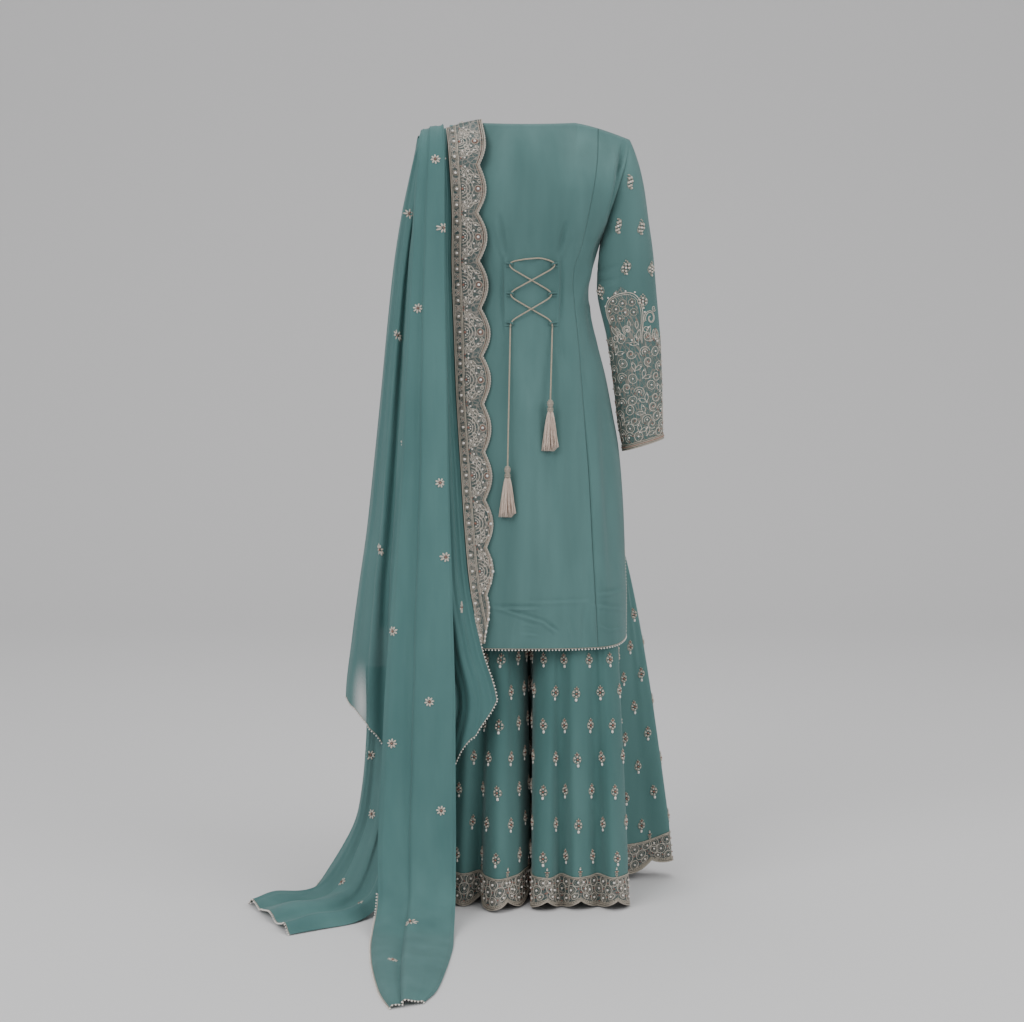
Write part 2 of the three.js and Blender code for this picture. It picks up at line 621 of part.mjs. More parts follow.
// Gharara sections at one height.
function hipPoint(a, z) {
  const angle = Math.PI * a;
  const half = column(HIP_LEVELS, "z", "half", z);
  const depth = column(HIP_LEVELS, "z", a < 0.5 ? "back" : "front", z);
  const x = half * Math.sin(angle) ** 0.9;
  const y = -Math.sign(Math.cos(angle)) * depth * Math.abs(Math.cos(angle)) ** 0.9;
  return new THREE.Vector3(x + SEAM_GAP / 2, y, z);
}

function legRing(a, z) {
  const angle = 2 * Math.PI * a;
  const half = column(HIP_LEVELS, "z", "half", z);
  const depth = column(HIP_LEVELS, "z", a % 1 < 0.5 ? "legBack" : "legFront", z);
  const inner = lerp(SEAM_GAP / 2, INNER_LEG_X, smoothstep(-z, -CROTCH_END, -FLARE_SEAM));
  const x = lerp(inner, half, (1 - Math.cos(angle)) / 2);
  return new THREE.Vector3(x, -depth * Math.sin(angle), z);
}

function upperLegRight(a, b) {
  const z = lerp(WAIST_SEAM - SEAM_GAP, FLARE_SEAM, b);
  const joined = smoothstep(-z, -CROTCH_TOP, -CROTCH_END);
  const point = hipPoint(a, z).lerp(legRing(a, z), joined);
  point.y += joined * SEAM_GAP * (a - 0.5);
  return point;
}

function waistband(a, b) {
  const angle = 2 * Math.PI * a;
  const z = lerp(WAIST_TOP, WAIST_SEAM, b);
  const half = column(HIP_LEVELS, "z", "half", z);
  const depth = column(HIP_LEVELS, "z", Math.sin(angle) > 0 ? "front" : "back", z);
  return new THREE.Vector3(half * Math.cos(angle), depth * Math.sin(angle), z);
}

// One flare, as a function of the hem outline. Down is 0 at the seam and 1 at the notches of the hem.
function flareSurface(hemRows) {
  const outline = new THREE.CatmullRomCurve3(
    hemRows.map((row) => new THREE.Vector3(row.x, row.y, row.lift)),
    true,
  );
  outline.arcLengthDivisions = 400;
  return (a, down) => {
    const around = outline.getUtoTmapping(((a % 1) + 1) % 1);
    const hem = outline.getPoint(around);
    const top = legRing(around, FLARE_SEAM);
    return new THREE.Vector3(
      lerp(top.x, hem.x, down ** WIDTH_EASE),
      lerp(top.y, hem.y, down ** DEPTH_EASE),
      lerp(FLARE_SEAM - SEAM_GAP, FLOOR + SCALLOP_DEPTH + hem.z, down),
    );
  };
}

const FLARE_HEIGHT = FLARE_SEAM - FLOOR - SCALLOP_DEPTH;
const BAND_START = 1 - HEM_BAND / FLARE_HEIGHT;
const flareBody = (surface) => (a, b) => surface(a, b * (BAND_START - SEAM_GAP / FLARE_HEIGHT));
const hemBand = (surface) => (a, b) => {
  const point = surface(a, lerp(BAND_START, 1, b));
  point.z -= b * SCALLOP_DEPTH * Math.abs(Math.sin(Math.PI * SCALLOPS_PER_LEG * a)) ** 0.8;
  return point;
};

// How far back the kameez reaches at one place of its back.
function backY(x, z) {
  const level = (name) => column(KAMEEZ_LEVELS, "z", name, Math.max(z, KAMEEZ_HEM));
  const edge = Math.min(level("backEdge"), 0);
  const inside = Math.max(1 - (Math.abs(x) / level("half")) ** level("round"), 0);
  return edge - (level("back") + edge) * inside ** (1 / level("round"));
}

// Dupatta. The fold tables place a point across the cloth and lift it off the body.
function foldAt(folds, a) {
  return {
    across: rowColumn(folds, "across", a),
    lift: rowColumn(folds, "lift", a),
  };
}

function clearOfBack(x, y, z) {
  return z > -SHOULDER_DROP ? y : Math.min(y, backY(x, z) - DRAPE_CLEARANCE - BORDER_WALL);
}

// One column of the back fall's table; above its first row the first row holds.
const backFallLevel = (z, name) => column(BACK_FALL, "z", name, Math.min(z, BACK_FALL[0].z));

// The back fall's x and y at one place across it and one height.
function backFallAt(across, z) {
  const level = (name) => backFallLevel(z, name);
  const x = lerp(level("leftX"), level("rightX") - EDGE_GAP, across);
  const lift = column(BACK_FOLDS, "across", "lift", across) * smoothstep(-z, 8, 60);
  const y = lerp(level("leftY"), level("rightY"), across) - level("swell") * lift;
  return { x, y: clearOfBack(x, y, z) };
}

function backFall(a, b) {
  const across = rowColumn(BACK_FOLDS, "across", a);
  const top = BACK_FALL_TOP + shoulderZ(lerp(BACK_FALL[0].leftX, BACK_FALL[0].rightX, across), 0);
  const z = lerp(top, column(BACK_HEM, "across", "z", across), b ** BACK_ROW_EASE);
  const { x, y } = backFallAt(across, z);
  return new THREE.Vector3(x, y, z);
}

// How far back the back fall reaches at one place, for the layers over and under it.
function backFallY(x, z) {
  const level = (name) => backFallLevel(z, name);
  const across = (x - level("leftX")) / (level("rightX") - EDGE_GAP - level("leftX"));
  return backFallAt(THREE.MathUtils.clamp(across, 0, 1), z).y;
}

function borderStrip(a, b) {
  const z = lerp(BORDER_TOP, BORDER_END, b);
  const outer = (name) => column(BORDER_LINE, "z", name, z);
  const scallop = outer("scallop") * Math.abs(Math.sin(Math.PI * BORDER_SCALLOPS * b));
  const x = lerp(column(BACK_FALL, "z", "rightX", z), outer("x") + scallop, a);
  const y = clearOfBack(x, lerp(column(BACK_FALL, "z", "rightY", z), outer("y"), a), z);
  const slope = shoulderZ(x, 0) * (1 - smoothstep(b, 0, 0.06));
  return new THREE.Vector3(x, y, z + slope);
}

function centreFall(a, b) {
  const fold = foldAt(CENTRE_FOLDS, a);
  const level = (name) => rowColumn(CENTRE_FALL, name, b);
  const x = lerp(level("leftX"), level("rightX"), fold.across);
  const onFloor = smoothstep(b, 0.66, 0.74);
  const set = lerp(level("leftBack"), level("rightBack"), fold.across);
  const rise = level("rise") * fold.lift;
  const slope = shoulderZ(x, 0) * (1 - smoothstep(b, 0, 0.12));
  return new THREE.Vector3(x, level("y") + set - rise * (1 - onFloor), level("z") + slope + rise * onFloor);
}

// The top of the side tail lies against the inside of the back fall.
function sideTail(a, b) {
  const fold = foldAt(TAIL_FOLDS, a);
  const level = (name) => rowColumn(SIDE_TAIL, name, b);
  const onFloor = smoothstep(b, 0.5, 0.72);
  const rise = level("rise") * fold.lift;
  const x = lerp(level("leftX"), level("rightX"), fold.across);
  const own = lerp(level("leftY"), level("rightY"), fold.across) - rise * (1 - onFloor);
  const under = backFallY(x, level("z")) + TAIL_UNDER;
  return new THREE.Vector3(x, lerp(under, own, smoothstep(b, 0, 0.3)), level("z") + rise * onFloor);
}

// The front fall runs the other way round the body, so that its face is outwards.
function frontFall(a, b) {
  const fold = foldAt(FRONT_FOLDS, 1 - a);
  const level = (name) => rowColumn(FRONT_FALL, name, b);
  const x = lerp(level("leftX"), level("rightX"), fold.across);
  const y = lerp(level("leftY"), level("rightY"), fold.across) + level("rise") * fold.lift;
  const top = shoulderZ(x, 0) * (1 - smoothstep(b, 0, 0.3));
  return new THREE.Vector3(x, y, level("z") + top);
}

// Lacing.
function laceLoop(place) {
  const points = [];
  const steps = 6;
  for (let k = 0; k <= steps; k += 1) {
    const angle = (Math.PI * k) / steps;
    const x = place.x - LOOP_HALF * Math.cos(angle);
    const y = backY(x, place.z) - SEAM_GAP - LOOP_STAND * Math.sin(angle);
    points.push(new THREE.Vector3(x, y, place.z));
  }
  return tube(points, LOOP_TUBE, 6, steps);
}

function onBack(x, z, off) {
  return new THREE.Vector3(x, backY(x, z) - off, z);
}

// The laced cord, from the lower left loop up through every loop and down to the lower right one.
function lacedCord() {
  const [leftTop, leftMiddle, leftBottom, rightTop, rightMiddle, rightBottom] = LOOPS;
  const through = [leftBottom, rightMiddle, leftTop, rightTop, leftMiddle, rightBottom];
  const points = [];
  through.forEach((loop, index) => {
    const lean = index < 3 ? 1 : -1;
    points.push(onBack(loop.x, loop.z - LOOP_REACH * lean, CORD_OFF_CLOTH));
    points.push(onBack(loop.x, loop.z + LOOP_REACH * lean, CORD_OFF_CLOTH));
    const next = through[index + 1];
    if (!next) return;
    const start = points[points.length - 1];
    const over = index === 0 || index === 3 ? CROSSING_OVER : 0;
    const targetZ = next.z - (index < 2 ? LOOP_REACH : -LOOP_REACH);
    for (const f of [0.3, 0.5, 0.7]) {
      const x = lerp(start.x, next.x, f);
      const z = lerp(start.z, targetZ, f) + (index === 2 ? BOW_RISE * Math.sqrt(f) : 0);
      points.push(onBack(x, z, CORD_OFF_CLOTH + over));
    }
  });
  return tube(points, CORD_DIAMETER, 6, 48);
}

function laceEnd(end) {
  const loop = LOOPS[end.loop];
  const points = [];
  const steps = 7;
  const startZ = loop.z - LOOP_REACH - 1;
  for (let k = 0; k <= steps; k += 1) {
    const f = k / steps;
    const z = lerp(startZ, end.bottomZ, f);
    const x = lerp(loop.x, end.bottomX, f);
    points.push(onBack(x, z, CORD_OFF_CLOTH + TASSEL_OFF_CLOTH * smoothstep(f, 0, 1)));
  }
  return tube(points, CORD_DIAMETER, 8, Math.round((startZ - end.bottomZ) / (3 * CORD_DIAMETER)));
}

// A tassel against the back: its head under the cord's end, and strands that follow the slope of the back.
function tassel(end) {
  const top = end.bottomZ - SEAM_GAP - 0.1;
  const hang = (x, z) => backY(end.bottomX, z) - CORD_OFF_CLOTH - TASSEL_OFF_CLOTH + x;
  const profile = TASSEL_PROFILE.map((row) => new THREE.Vector2(row.radius, -row.down)).reverse();
  const head = new THREE.LatheGeometry(profile, 10);
  head.rotateX(Math.PI / 2);
  head.translate(end.bottomX, hang(0, top - TASSEL_HEAD), top);
  let made = solid(head);
  const golden = Math.PI * (3 - Math.sqrt(5));
  const rootRadius = TASSEL_HEAD_RADIUS - 1.2;
  for (let k = 0; k < TASSEL_STRANDS; k += 1) {
    const radius = Math.sqrt((k + 0.5) / TASSEL_STRANDS);
    const angle = golden * k;
    const across = radius * Math.cos(angle);
    const out = radius * Math.sin(angle);
    const rootZ = top - TASSEL_HEAD + 1;
    const tipZ = top - TASSEL_HEAD - TASSEL_LENGTH + 5 * radius;
    const root = new THREE.Vector3(
      end.bottomX + rootRadius * across,
      hang(rootRadius * out, top - TASSEL_HEAD),
      rootZ,
    );
    const tip = new THREE.Vector3(
      end.bottomX + TASSEL_SPREAD * across,
      hang(TASSEL_DEPTH * out, tipZ),
      tipZ,
    );
    const strand = tube([root, root.clone().lerp(tip, 0.5), tip], STRAND_THICKNESS, 3, 1);
    made = made.add(solid(strand));
  }
  return geometryOf(made);
}

// Materials.
function cloth(color, roughness = 0.75, metalness = 0) {
  return new THREE.MeshStandardMaterial({ color, roughness, metalness });
}

const group = new THREE.Group();

function place(name, geometry, material) {
  const mesh = new THREE.Mesh(geometry, material);
  mesh.name = name;
  group.add(mesh);
}

function addKameez() {
  const panel = (surface, across) => clothWall(surface, across, KAMEEZ_ROWS, KAMEEZ_WALL, { shoulder: true });
  place("kameez_centre_back", panel(centreBack, 10), cloth(TEAL));
  place("kameez_side_back_right", panel(sideBackRight, 4), cloth(TEAL));
  place("kameez_side_back_left", panel(mirrored(sideBackRight), 4), cloth(TEAL));
  place("kameez_front", panel(frontPanel, 14), cloth(TEAL));
  const sleeve = (surface) => clothWall(surface, SLEEVE_AROUND, SLEEVE_ALONG, KAMEEZ_WALL, { closed: true });
  place("sleeve_right", sleeve(rightSleeve), cloth(TEAL));
  place("sleeve_left", sleeve(mirrored(rightSleeve)), cloth(TEAL));
}

function addGharara() {
  place("gharara_waistband", clothWall(waistband, 24, 1, GHARARA_WALL, { closed: true }), cloth(DEEP_TEAL));
  const around = SCALLOPS_PER_LEG * SCALLOP_STEPS;
  for (const [side, rows] of [["right", RIGHT_HEM], ["left", LEFT_HEM]]) {
    const turned = (surface) => (side === "right" ? surface : mirrored(surface));
    const flare = flareSurface(rows);
    const upper = clothWall(turned(upperLegRight), 16, 7, GHARARA_WALL);
    place(`gharara_upper_leg_${side}`, upper, cloth(DEEP_TEAL));
    const skirt = clothWall(turned(flareBody(flare)), around, FLARE_ROWS, GHARARA_WALL, { closed: true });
    place(`gharara_flare_${side}`, skirt, cloth(DEEP_TEAL));
    const band = clothWall(turned(hemBand(flare)), around, 1, GHARARA_WALL, { closed: true });
    place(`gharara_hem_band_${side}`, band, cloth(ZARI, 0.5, 0.4));
  }
}

function addDupatta() {
  const sheer = () => cloth(LIGHT_TEAL, 0.6);
  place("dupatta_back_fall", clothWall(backFall, 24, 14, DUPATTA_WALL), sheer());
  const border = clothWall(borderStrip, 2, BORDER_SCALLOPS * 4, BORDER_WALL);
  place("dupatta_border", border, cloth(ZARI, 0.5, 0.4));
  place("dupatta_centre_fall", clothWall(centreFall, 10, 20, DUPATTA_WALL), sheer());
  place("dupatta_side_tail", clothWall(sideTail, 10, 12, DUPATTA_WALL), sheer());
  place("dupatta_front_fall", clothWall(frontFall, 12, 9, DUPATTA_WALL), sheer());
}

function addLacing() {
  for (const loop of LOOPS) place(loop.name, laceLoop(loop), cloth(TEAL));
  place("lace_crossing", lacedCord(), cloth(CORD_COLOUR));
  for (const end of LACE_ENDS) {
    place(`lace_end_${end.name}`, laceEnd(end), cloth(CORD_COLOUR));
    place(`tassel_${end.name}`, tassel(end), cloth(BLUSH, 0.55));
  }
}

addKameez();
addGharara();
addDupatta();
addLacing();

export default group;
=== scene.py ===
# The dressed model of a worn gharara suit: cloth shells on the solids' forms, embroidery, lacing and light.
# Garment sizes are in millimetres, as a maker would note them, and meshes are made in metres.
import itertools
import math

import bpy
import numpy as np
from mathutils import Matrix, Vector


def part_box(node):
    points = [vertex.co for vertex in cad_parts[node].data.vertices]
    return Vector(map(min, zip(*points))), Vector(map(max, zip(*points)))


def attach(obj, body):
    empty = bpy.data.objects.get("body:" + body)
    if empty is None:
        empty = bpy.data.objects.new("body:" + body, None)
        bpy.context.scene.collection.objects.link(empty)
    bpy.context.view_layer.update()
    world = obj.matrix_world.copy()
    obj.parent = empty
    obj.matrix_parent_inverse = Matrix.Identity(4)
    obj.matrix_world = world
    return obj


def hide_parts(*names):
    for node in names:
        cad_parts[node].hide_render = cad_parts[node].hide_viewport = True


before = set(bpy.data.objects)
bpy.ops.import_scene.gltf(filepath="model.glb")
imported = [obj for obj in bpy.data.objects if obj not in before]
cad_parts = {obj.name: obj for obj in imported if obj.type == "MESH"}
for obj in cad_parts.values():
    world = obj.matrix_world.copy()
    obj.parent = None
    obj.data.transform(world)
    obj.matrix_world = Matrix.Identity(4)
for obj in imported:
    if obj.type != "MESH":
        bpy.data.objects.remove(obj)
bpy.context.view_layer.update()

MM = 0.001
FLOOR = -1440.0

# Camera and light.
CAMERA_DISTANCE = 4.4
CAMERA_HEIGHT = -0.29
CAMERA_OFFSET = -0.028
CAMERA_PITCH = math.radians(5.61)
FOCAL_PIXELS = 2350.0
IMAGE_WIDTH = 1024.0
SENSOR = 36.0


def add_camera():
    data = bpy.data.cameras.new("camera")
    data.sensor_width = SENSOR
    data.lens = SENSOR * FOCAL_PIXELS / IMAGE_WIDTH
    data.clip_end = 60.0
    camera = bpy.data.objects.new("camera", data)
    camera.location = (CAMERA_OFFSET, -CAMERA_DISTANCE, CAMERA_HEIGHT)
    camera.rotation_euler = (math.pi / 2 - CAMERA_PITCH, 0.0, 0.0)
    bpy.context.scene.collection.objects.link(camera)
    bpy.context.scene.camera = camera


add_camera()

# Shoulder, neck and panel sizes of the kameez.
SEAM_GAP = 0.3
EDGE_GAP = 1.3
BORDER_WALL = 1.8
DRAPE_CLEARANCE = 1.9
NECK_HALF = 88.0
SHOULDER_HALF = 191.0
SHOULDER_Y = 6.0
SHOULDER_DROP = 31.0
NECK_BACK_DROP = 5.0
NECK_FRONT_DROP = 78.0
ARMPIT_Z = -221.0
KAMEEZ_HEM = -961.0
HEM_CORNER_RISE = 12.0


def table(names, *rows):
    """A small table: one array for each named column."""
    values = np.array(rows, float)
    return {name: values[:, k] for k, name in enumerate(names.split())}


KAMEEZ_LEVELS = table(
    "z half back front backEdge frontEdge round",
    (-5, 191, 44, 58, 0, 0, 2.2),
    (-40, 186, 64, 76, 0, 0, 2.2),
    (-80, 180, 79, 94, 0, 0, 2.2),
    (-150, 159, 87, 114, 0, 0, 2.2),
    (-221, 136, 83, 117, 0, 0, 2.2),
    (-290, 117, 75, 102, 0, 0, 2.2),
    (-325, 115, 73, 95, 0, 0, 2.2),
    (-370, 122, 78, 93, 0, 0, 2.2),
    (-467, 146, 102, 100, 0, 0, 2.2),
    (-536, 159, 116, 105, 0, 0, 2.2),
    (-602, 171, 125, 110, 0, 0, 2.2),
    (-700, 180, 131, 118, 0, 0, 2.3),
    (-790, 184, 136, 128, 0, 0, 2.4),
    (-830, 185, 139, 133, -16, 42, 2.5),
    (-870, 186, 143, 140, -30, 66, 2.5),
    (-961, 185, 149, 152, -50, 88, 2.6),
)
ARMHOLE_BACK_DEPTH = 34.0
ARMHOLE_FRONT_DEPTH = 36.0
ARMHOLE = table("z x", (-31, 191), (-77, 182), (-106, 173), (-150, 159), (-221, 136))
PRINCESS = table(
    "z x",
    (-5, 132),
    (-65, 129),
    (-137, 118),
    (-222, 101),
    (-281, 85),
    (-381, 90),
    (-602, 111),
    (-807, 122),
    (-961, 130),
)
SLEEVE_LEVELS = table(
    "innerX innerZ outerX outerZ depth y",
    (136, -222, 192, -31, 35, 1),
    (135, -234, 204, -63, 38, 1),
    (133, -248, 217, -116, 40, 1),
    (131, -268, 227, -184, 41, 2),
    (130, -296, 235, -240, 41, 2),
    (133, -330, 241, -306, 40, 3),
    (150, -402, 249, -392, 39, 6),
    (162, -484, 253, -474, 38, 9),
    (171, -558, 255, -540, 36, 12),
    (181, -609, 256, -585, 34, 14),
)

# Gharara sizes.
WAIST_TOP = -345.0
WAIST_SEAM = -375.0
CROTCH_TOP = -520.0
CROTCH_END = -650.0
FLARE_SEAM = -780.0
INNER_LEG_X = 3.0
HIP_LEVELS = table(
    "z half back front legBack legFront",
    (-345, 109, 66, 84, 60, 76),
    (-375, 113, 70, 84, 62, 76),
    (-420, 124, 82, 86, 72, 76),
    (-467, 137, 94, 90, 80, 76),
    (-536, 149, 106, 94, 88, 78),
    (-602, 168.4, 121, 103, 92, 80),
    (-650, 172.9, 122, 104, 95, 84),
    (-780, 173, 116, 104, 106, 97),
)
RIGHT_HEM = table(
    "x y lift",
    (6, -20, 6),
    (20, -78, 6),
    (8, -138, 5),
    (14, -186, 3),
    (40, -196, 2),
    (63, -160, 3),
    (88, -190, 2),
    (112, -178, 2),
    (130, -158, 3),
    (158, -192, 2),
    (187, -160, 3),
    (170, -84, 6),
    (172, 12, 12),
    (228, 44, 16),
    (281, 54, 34),
    (268, 92, 22),
    (216, 92, 10),
    (206, 146, 4),
    (168, 132, 3),
    (142, 182, 2),
    (106, 150, 3),
    (76, 194, 2),
    (44, 156, 3),
    (16, 172, 2),
    (8, 120, 4),
    (-8, 50, 6),
)
LEFT_HEM = table(
    "x y lift",
    (8, -24, 6),
    (-8, -80, 6),
    (6, -142, 5),
    (22, -178, 3),
    (54, -206, 2),
    (78, -176, 3),
    (88, -136, 4),
    (118, -158, 2),
    (142, -142, 3),
    (168, -176, 2),
    (192, -140, 3),
    (186, -78, 6),
    (196, -20, 8),
    (236, -4, 10),
    (274, 28, 12),
    (262, 78, 10),
    (218, 88, 6),
    (204, 140, 4),
    (170, 128, 3),
    (138, 178, 2),
    (104, 148, 3),
    (78, 190, 2),
    (46, 152, 3),
    (17, 170, 2),
    (6, 116, 4),
    (20, 50, 6),
)
SCALLOPS_PER_LEG = 14
SCALLOP_DEPTH = 18.0
HEM_BAND = 42.0
WIDTH_EASE = 0.74
DEPTH_EASE = 1.12

# Dupatta sizes.
BACK_FALL = table(
    "z leftX leftY rightX rightY swell",
    (4, -199, 2, -150, -2, 0),
    (-50, -207, -8, -145, -66, 16),
    (-100, -218, -10, -141, -78, 26),
    (-170, -233, -12, -138, -74, 32),
    (-257, -247, -14, -139, -62, 38),
    (-363, -259, -18, -136, -60, 42),
    (-507, -273, -26, -130, -76, 44),
    (-634, -286, -36, -122, -104, 44),
    (-755, -299, -48, -114, -124, 46),
    (-853, -313, -58, -104, -140, 48),
    (-958, -327, -66, -82, -156, 48),
    (-1060, -338, -72, -54, -172, 46),
    (-1150, -330, -84, -78, -182, 44),
    (-1250, -318, -96, -104, -194, 40),
)
BACK_FOLDS = table(
    "across lift",
    (0, 0),
    (0.07, 0.42),
    (0.17, 0.66),
    (0.27, 0.4),
    (0.34, 0.82),
    (0.46, 0.95),
    (0.54, 0.55),
    (0.62, 0.86),
    (0.71, 0.62),
    (0.75, 0.2),
    (0.83, 0.52),
    (0.91, 0.12),
    (1, 0),
)
BACK_HEM = table(
    "across z",
    (0, -1062),
    (0.08, -1086),
    (0.2, -1122),
    (0.36, -1180),
    (0.55, -1236),
    (0.7, -1238),
    (0.78, -1190),
    (0.84, -1136),
    (0.9, -1110),
    (1, -1052),
)
BORDER_LINE = table(
    "z x y scallop",
    (4, -84, -4, 4),
    (-50, -86, -70, 10),
    (-140, -90, -87, 15),
    (-235, -88, -82, 15),
    (-330, -85, -69, 14),
    (-410, -82, -81, 15),
    (-500, -80, -103, 13),
    (-570, -78, -116, 12),
    (-720, -76, -130, 13),
    (-800, -74, -137, 12),
    (-870, -74, -145, 8),
    (-952, -78, -156, 0),
)
BACK_FALL_TOP = 5.0
BACK_ROW_EASE = 1.04
BORDER_TOP = 6.0
BORDER_END = -950.0
BORDER_SCALLOPS = 11
CENTRE_FALL = table(
    "z y leftX rightX leftBack rightBack rise",
    (4.3, -3, -188, -156, 0, 0, 0),
    (0, -46, -194, -153, 4, 0, 2),
    (-60, -84, -200, -150, 6, -6, 3),
    (-170, -104, -208, -150, 14, -2, 5),
    (-310, -106, -216, -149, 14, 2, 6),
    (-480, -120, -226, -146, 14, 0, 7),
    (-630, -138, -231, -143, 14, -2, 8),
    (-865, -170, -247, -136, 14, -6, 9),
    (-1030, -192, -259, -131, 14, -8, 10),
    (-1170, -210, -265, -130, 10, -6, 11),
    (-1300, -240, -270, -129, 4, 0, 11),
    (-1392, -288, -268, -129, 0, 0, 10),
    (-1431, -360, -273, -130, 4, 0, 9),
    (-1437.5, -440, -272, -130, 8, 0, 10),
    (-1437.5, -560, -262, -138, 6, -6, 11),
    (-1437.5, -680, -243, -150, -8, 0, 9),
    (-1437.5, -756, -222, -168, -16, 14, 5),
)
CENTRE_FOLDS = table(
    "across lift",
    (0, 0),
    (0.1, 0.75),
    (0.26, 0.6),
    (0.41, 0.1),
    (0.47, 1),
    (0.66, 0.75),
    (0.88, 0.6),
    (1, 0),
)
SIDE_TAIL = table(
    "z leftX leftY rightX rightY rise",
    (-1000, -298, -64, -236, -84, 6),
    (-1080, -298, -70, -236, -92, 7),
    (-1140, -300, -78, -238, -102, 8),
    (-1230, -308, -92, -240, -128, 10),
    (-1300, -324, -98, -244, -158, 11),
    (-1385, -372, -96, -256, -196, 14),
    (-1426, -404, -100, -276, -226, 18),
    (-1437.5, -438, -102, -312, -276, 20),
    (-1437.5, -480, -108, -372, -318, 22),
    (-1437.5, -514, -140, -420, -352, 14),
)
TAIL_UNDER = 4.8
TAIL_FOLDS = table(
    "across lift", (0, 0), (0.14, 0.8), (0.32, 0.2), (0.5, 1), (0.7, 0.25), (0.87, 0.75), (1, 0)
)
FRONT_FALL = table(
    "z leftX leftY rightX rightY rise",
    (2.2, -198, 6, -86, 4, 0),
    (0, -203, 27, -86, 46, 5),
    (-50, -210, 42, -84, 94, 16),
    (-140, -224, 48, -80, 120, 20),
    (-260, -240, 52, -78, 124, 22),
    (-420, -256, 56, -74, 118, 22),
    (-600, -268, 64, -70, 124, 24),
    (-780, -276, 84, -66, 142, 26),
    (-960, -286, 110, -62, 164, 28),
)
FRONT_FOLDS = table(
    "across lift",
    (0, 0),
    (0.12, 0.7),
    (0.24, 0.3),
    (0.38, 0.9),
    (0.5, 0.35),
    (0.64, 0.85),
    (0.78, 0.3),
    (0.9, 0.55),
    (1, 0),
)

# Lacing sizes.
CORD_DIAMETER = 2.8
CORD_OFF_CLOTH = 3.5
LOOP_HALF = 5.0
LOOP_THICKNESS = 3.4
LOOPS = (
    ("lace_loop_left_top", -32, -262),
    ("lace_loop_left_middle", -30, -316),
    ("lace_loop_left_bottom", -31, -370),
    ("lace_loop_right_top", 50, -262),
    ("lace_loop_right_middle", 44, -316),
    ("lace_loop_right_bottom", 46, -370),
)
LACE_ENDS = (("left", 2, -36, -626), ("right", 5, 42, -506))
TASSEL_HEAD = 20.0
TASSEL_OFF_CLOTH = 6.0
CORD_IN_TASSEL = 42.0


def lerp(low, high, f):
    return low + (high - low) * f


def smoothstep(x, low, high):
    f = np.clip((x - low) / (high - low), 0.0, 1.0)
    return f * f * (3.0 - 2.0 * f)


def column(rows, key, name, at):
    """One column of a table at any place of its key column, by a smooth curve through the rows."""
    places = rows[key]
    values = rows[name]
    at = np.asarray(at, float)
    if places[0] > places[-1]:
        places = -places
        at = -at
    last = len(places) - 1
    k = np.clip(np.searchsorted(places[1:], at, side="left"), 0, last - 1)
    before = np.maximum(k - 1, 0)
    after = np.minimum(k + 2, last)
    span = places[k + 1] - places[k]
    f = np.clip((at - places[k]) / span, 0.0, 1.0)
    low_slope = (values[k + 1] - values[before]) / (places[k + 1] - places[before]) * span
    high_slope = (values[after] - values[k]) / (places[after] - places[k]) * span
    f2 = f * f
    f3 = f2 * f
    return (
        (2 * f3 - 3 * f2 + 1) * values[k]
        + (f3 - 2 * f2 + f) * low_slope
        + (3 * f2 - 2 * f3) * values[k + 1]
        + (f3 - f2) * high_slope
    )


def row_column(rows, name, at):
    """The same, for tables whose rows are evenly spaced from 0 to 1."""
    values = rows[name]
    indexed = {"index": np.arange(len(values), dtype=float), "value": values}
    return column(indexed, "index", "value", np.asarray(at, float) * (len(values) - 1))


def between(rows, name, b, across):
    """A place between a table's left and right columns, such as leftX and rightX."""
    return lerp(row_column(rows, "left" + name, b), row_column(rows, "right" + name, b), across)


def kameez_level(name, z):
    return column(KAMEEZ_LEVELS, "z", name, z)


def hip_level(name, z):
    return column(HIP_LEVELS, "z", name, z)


def fall_level(name, z):
    return column(BACK_FALL, "z", name, z)


def stack(x, y, z):
    return np.stack(np.broadcast_arrays(x, y, z), axis=-1).astype(float)


def mirrored(surface):
    def other(a, b):
        points = surface(1.0 - a, b)
        points[..., 0] *= -1.0
        return points

    return other


# Kameez surfaces. The row goes from 0 at the shoulder, through 1 at the armpit, to 2 at the hem.
def armhole_point(front, row):
    row = np.clip(row, 0.0, 1.0)
    z = lerp(-SHOULDER_DROP, ARMPIT_Z, row)
    depth = np.where(front, ARMHOLE_FRONT_DEPTH, -ARMHOLE_BACK_DEPTH)
    y = SHOULDER_Y * (1.0 - row) + depth * np.sin(np.pi * row)
    return column(ARMHOLE, "z", "x", z), y, z


def shoulder_z(x, neck_drop):
    off = np.abs(x)
    neck = -neck_drop * (1.0 - (off / NECK_HALF) ** 2)
    slope = np.maximum(off - NECK_HALF, 0.0) / (SHOULDER_HALF - NECK_HALF)
    return np.where(off < NECK_HALF, neck, -SHOULDER_DROP * slope**1.35)


def row_height(row, neck_drop):
    return np.where(row < 1.0, lerp(-neck_drop, ARMPIT_Z, row), lerp(ARMPIT_Z, KAMEEZ_HEM, row - 1.0))


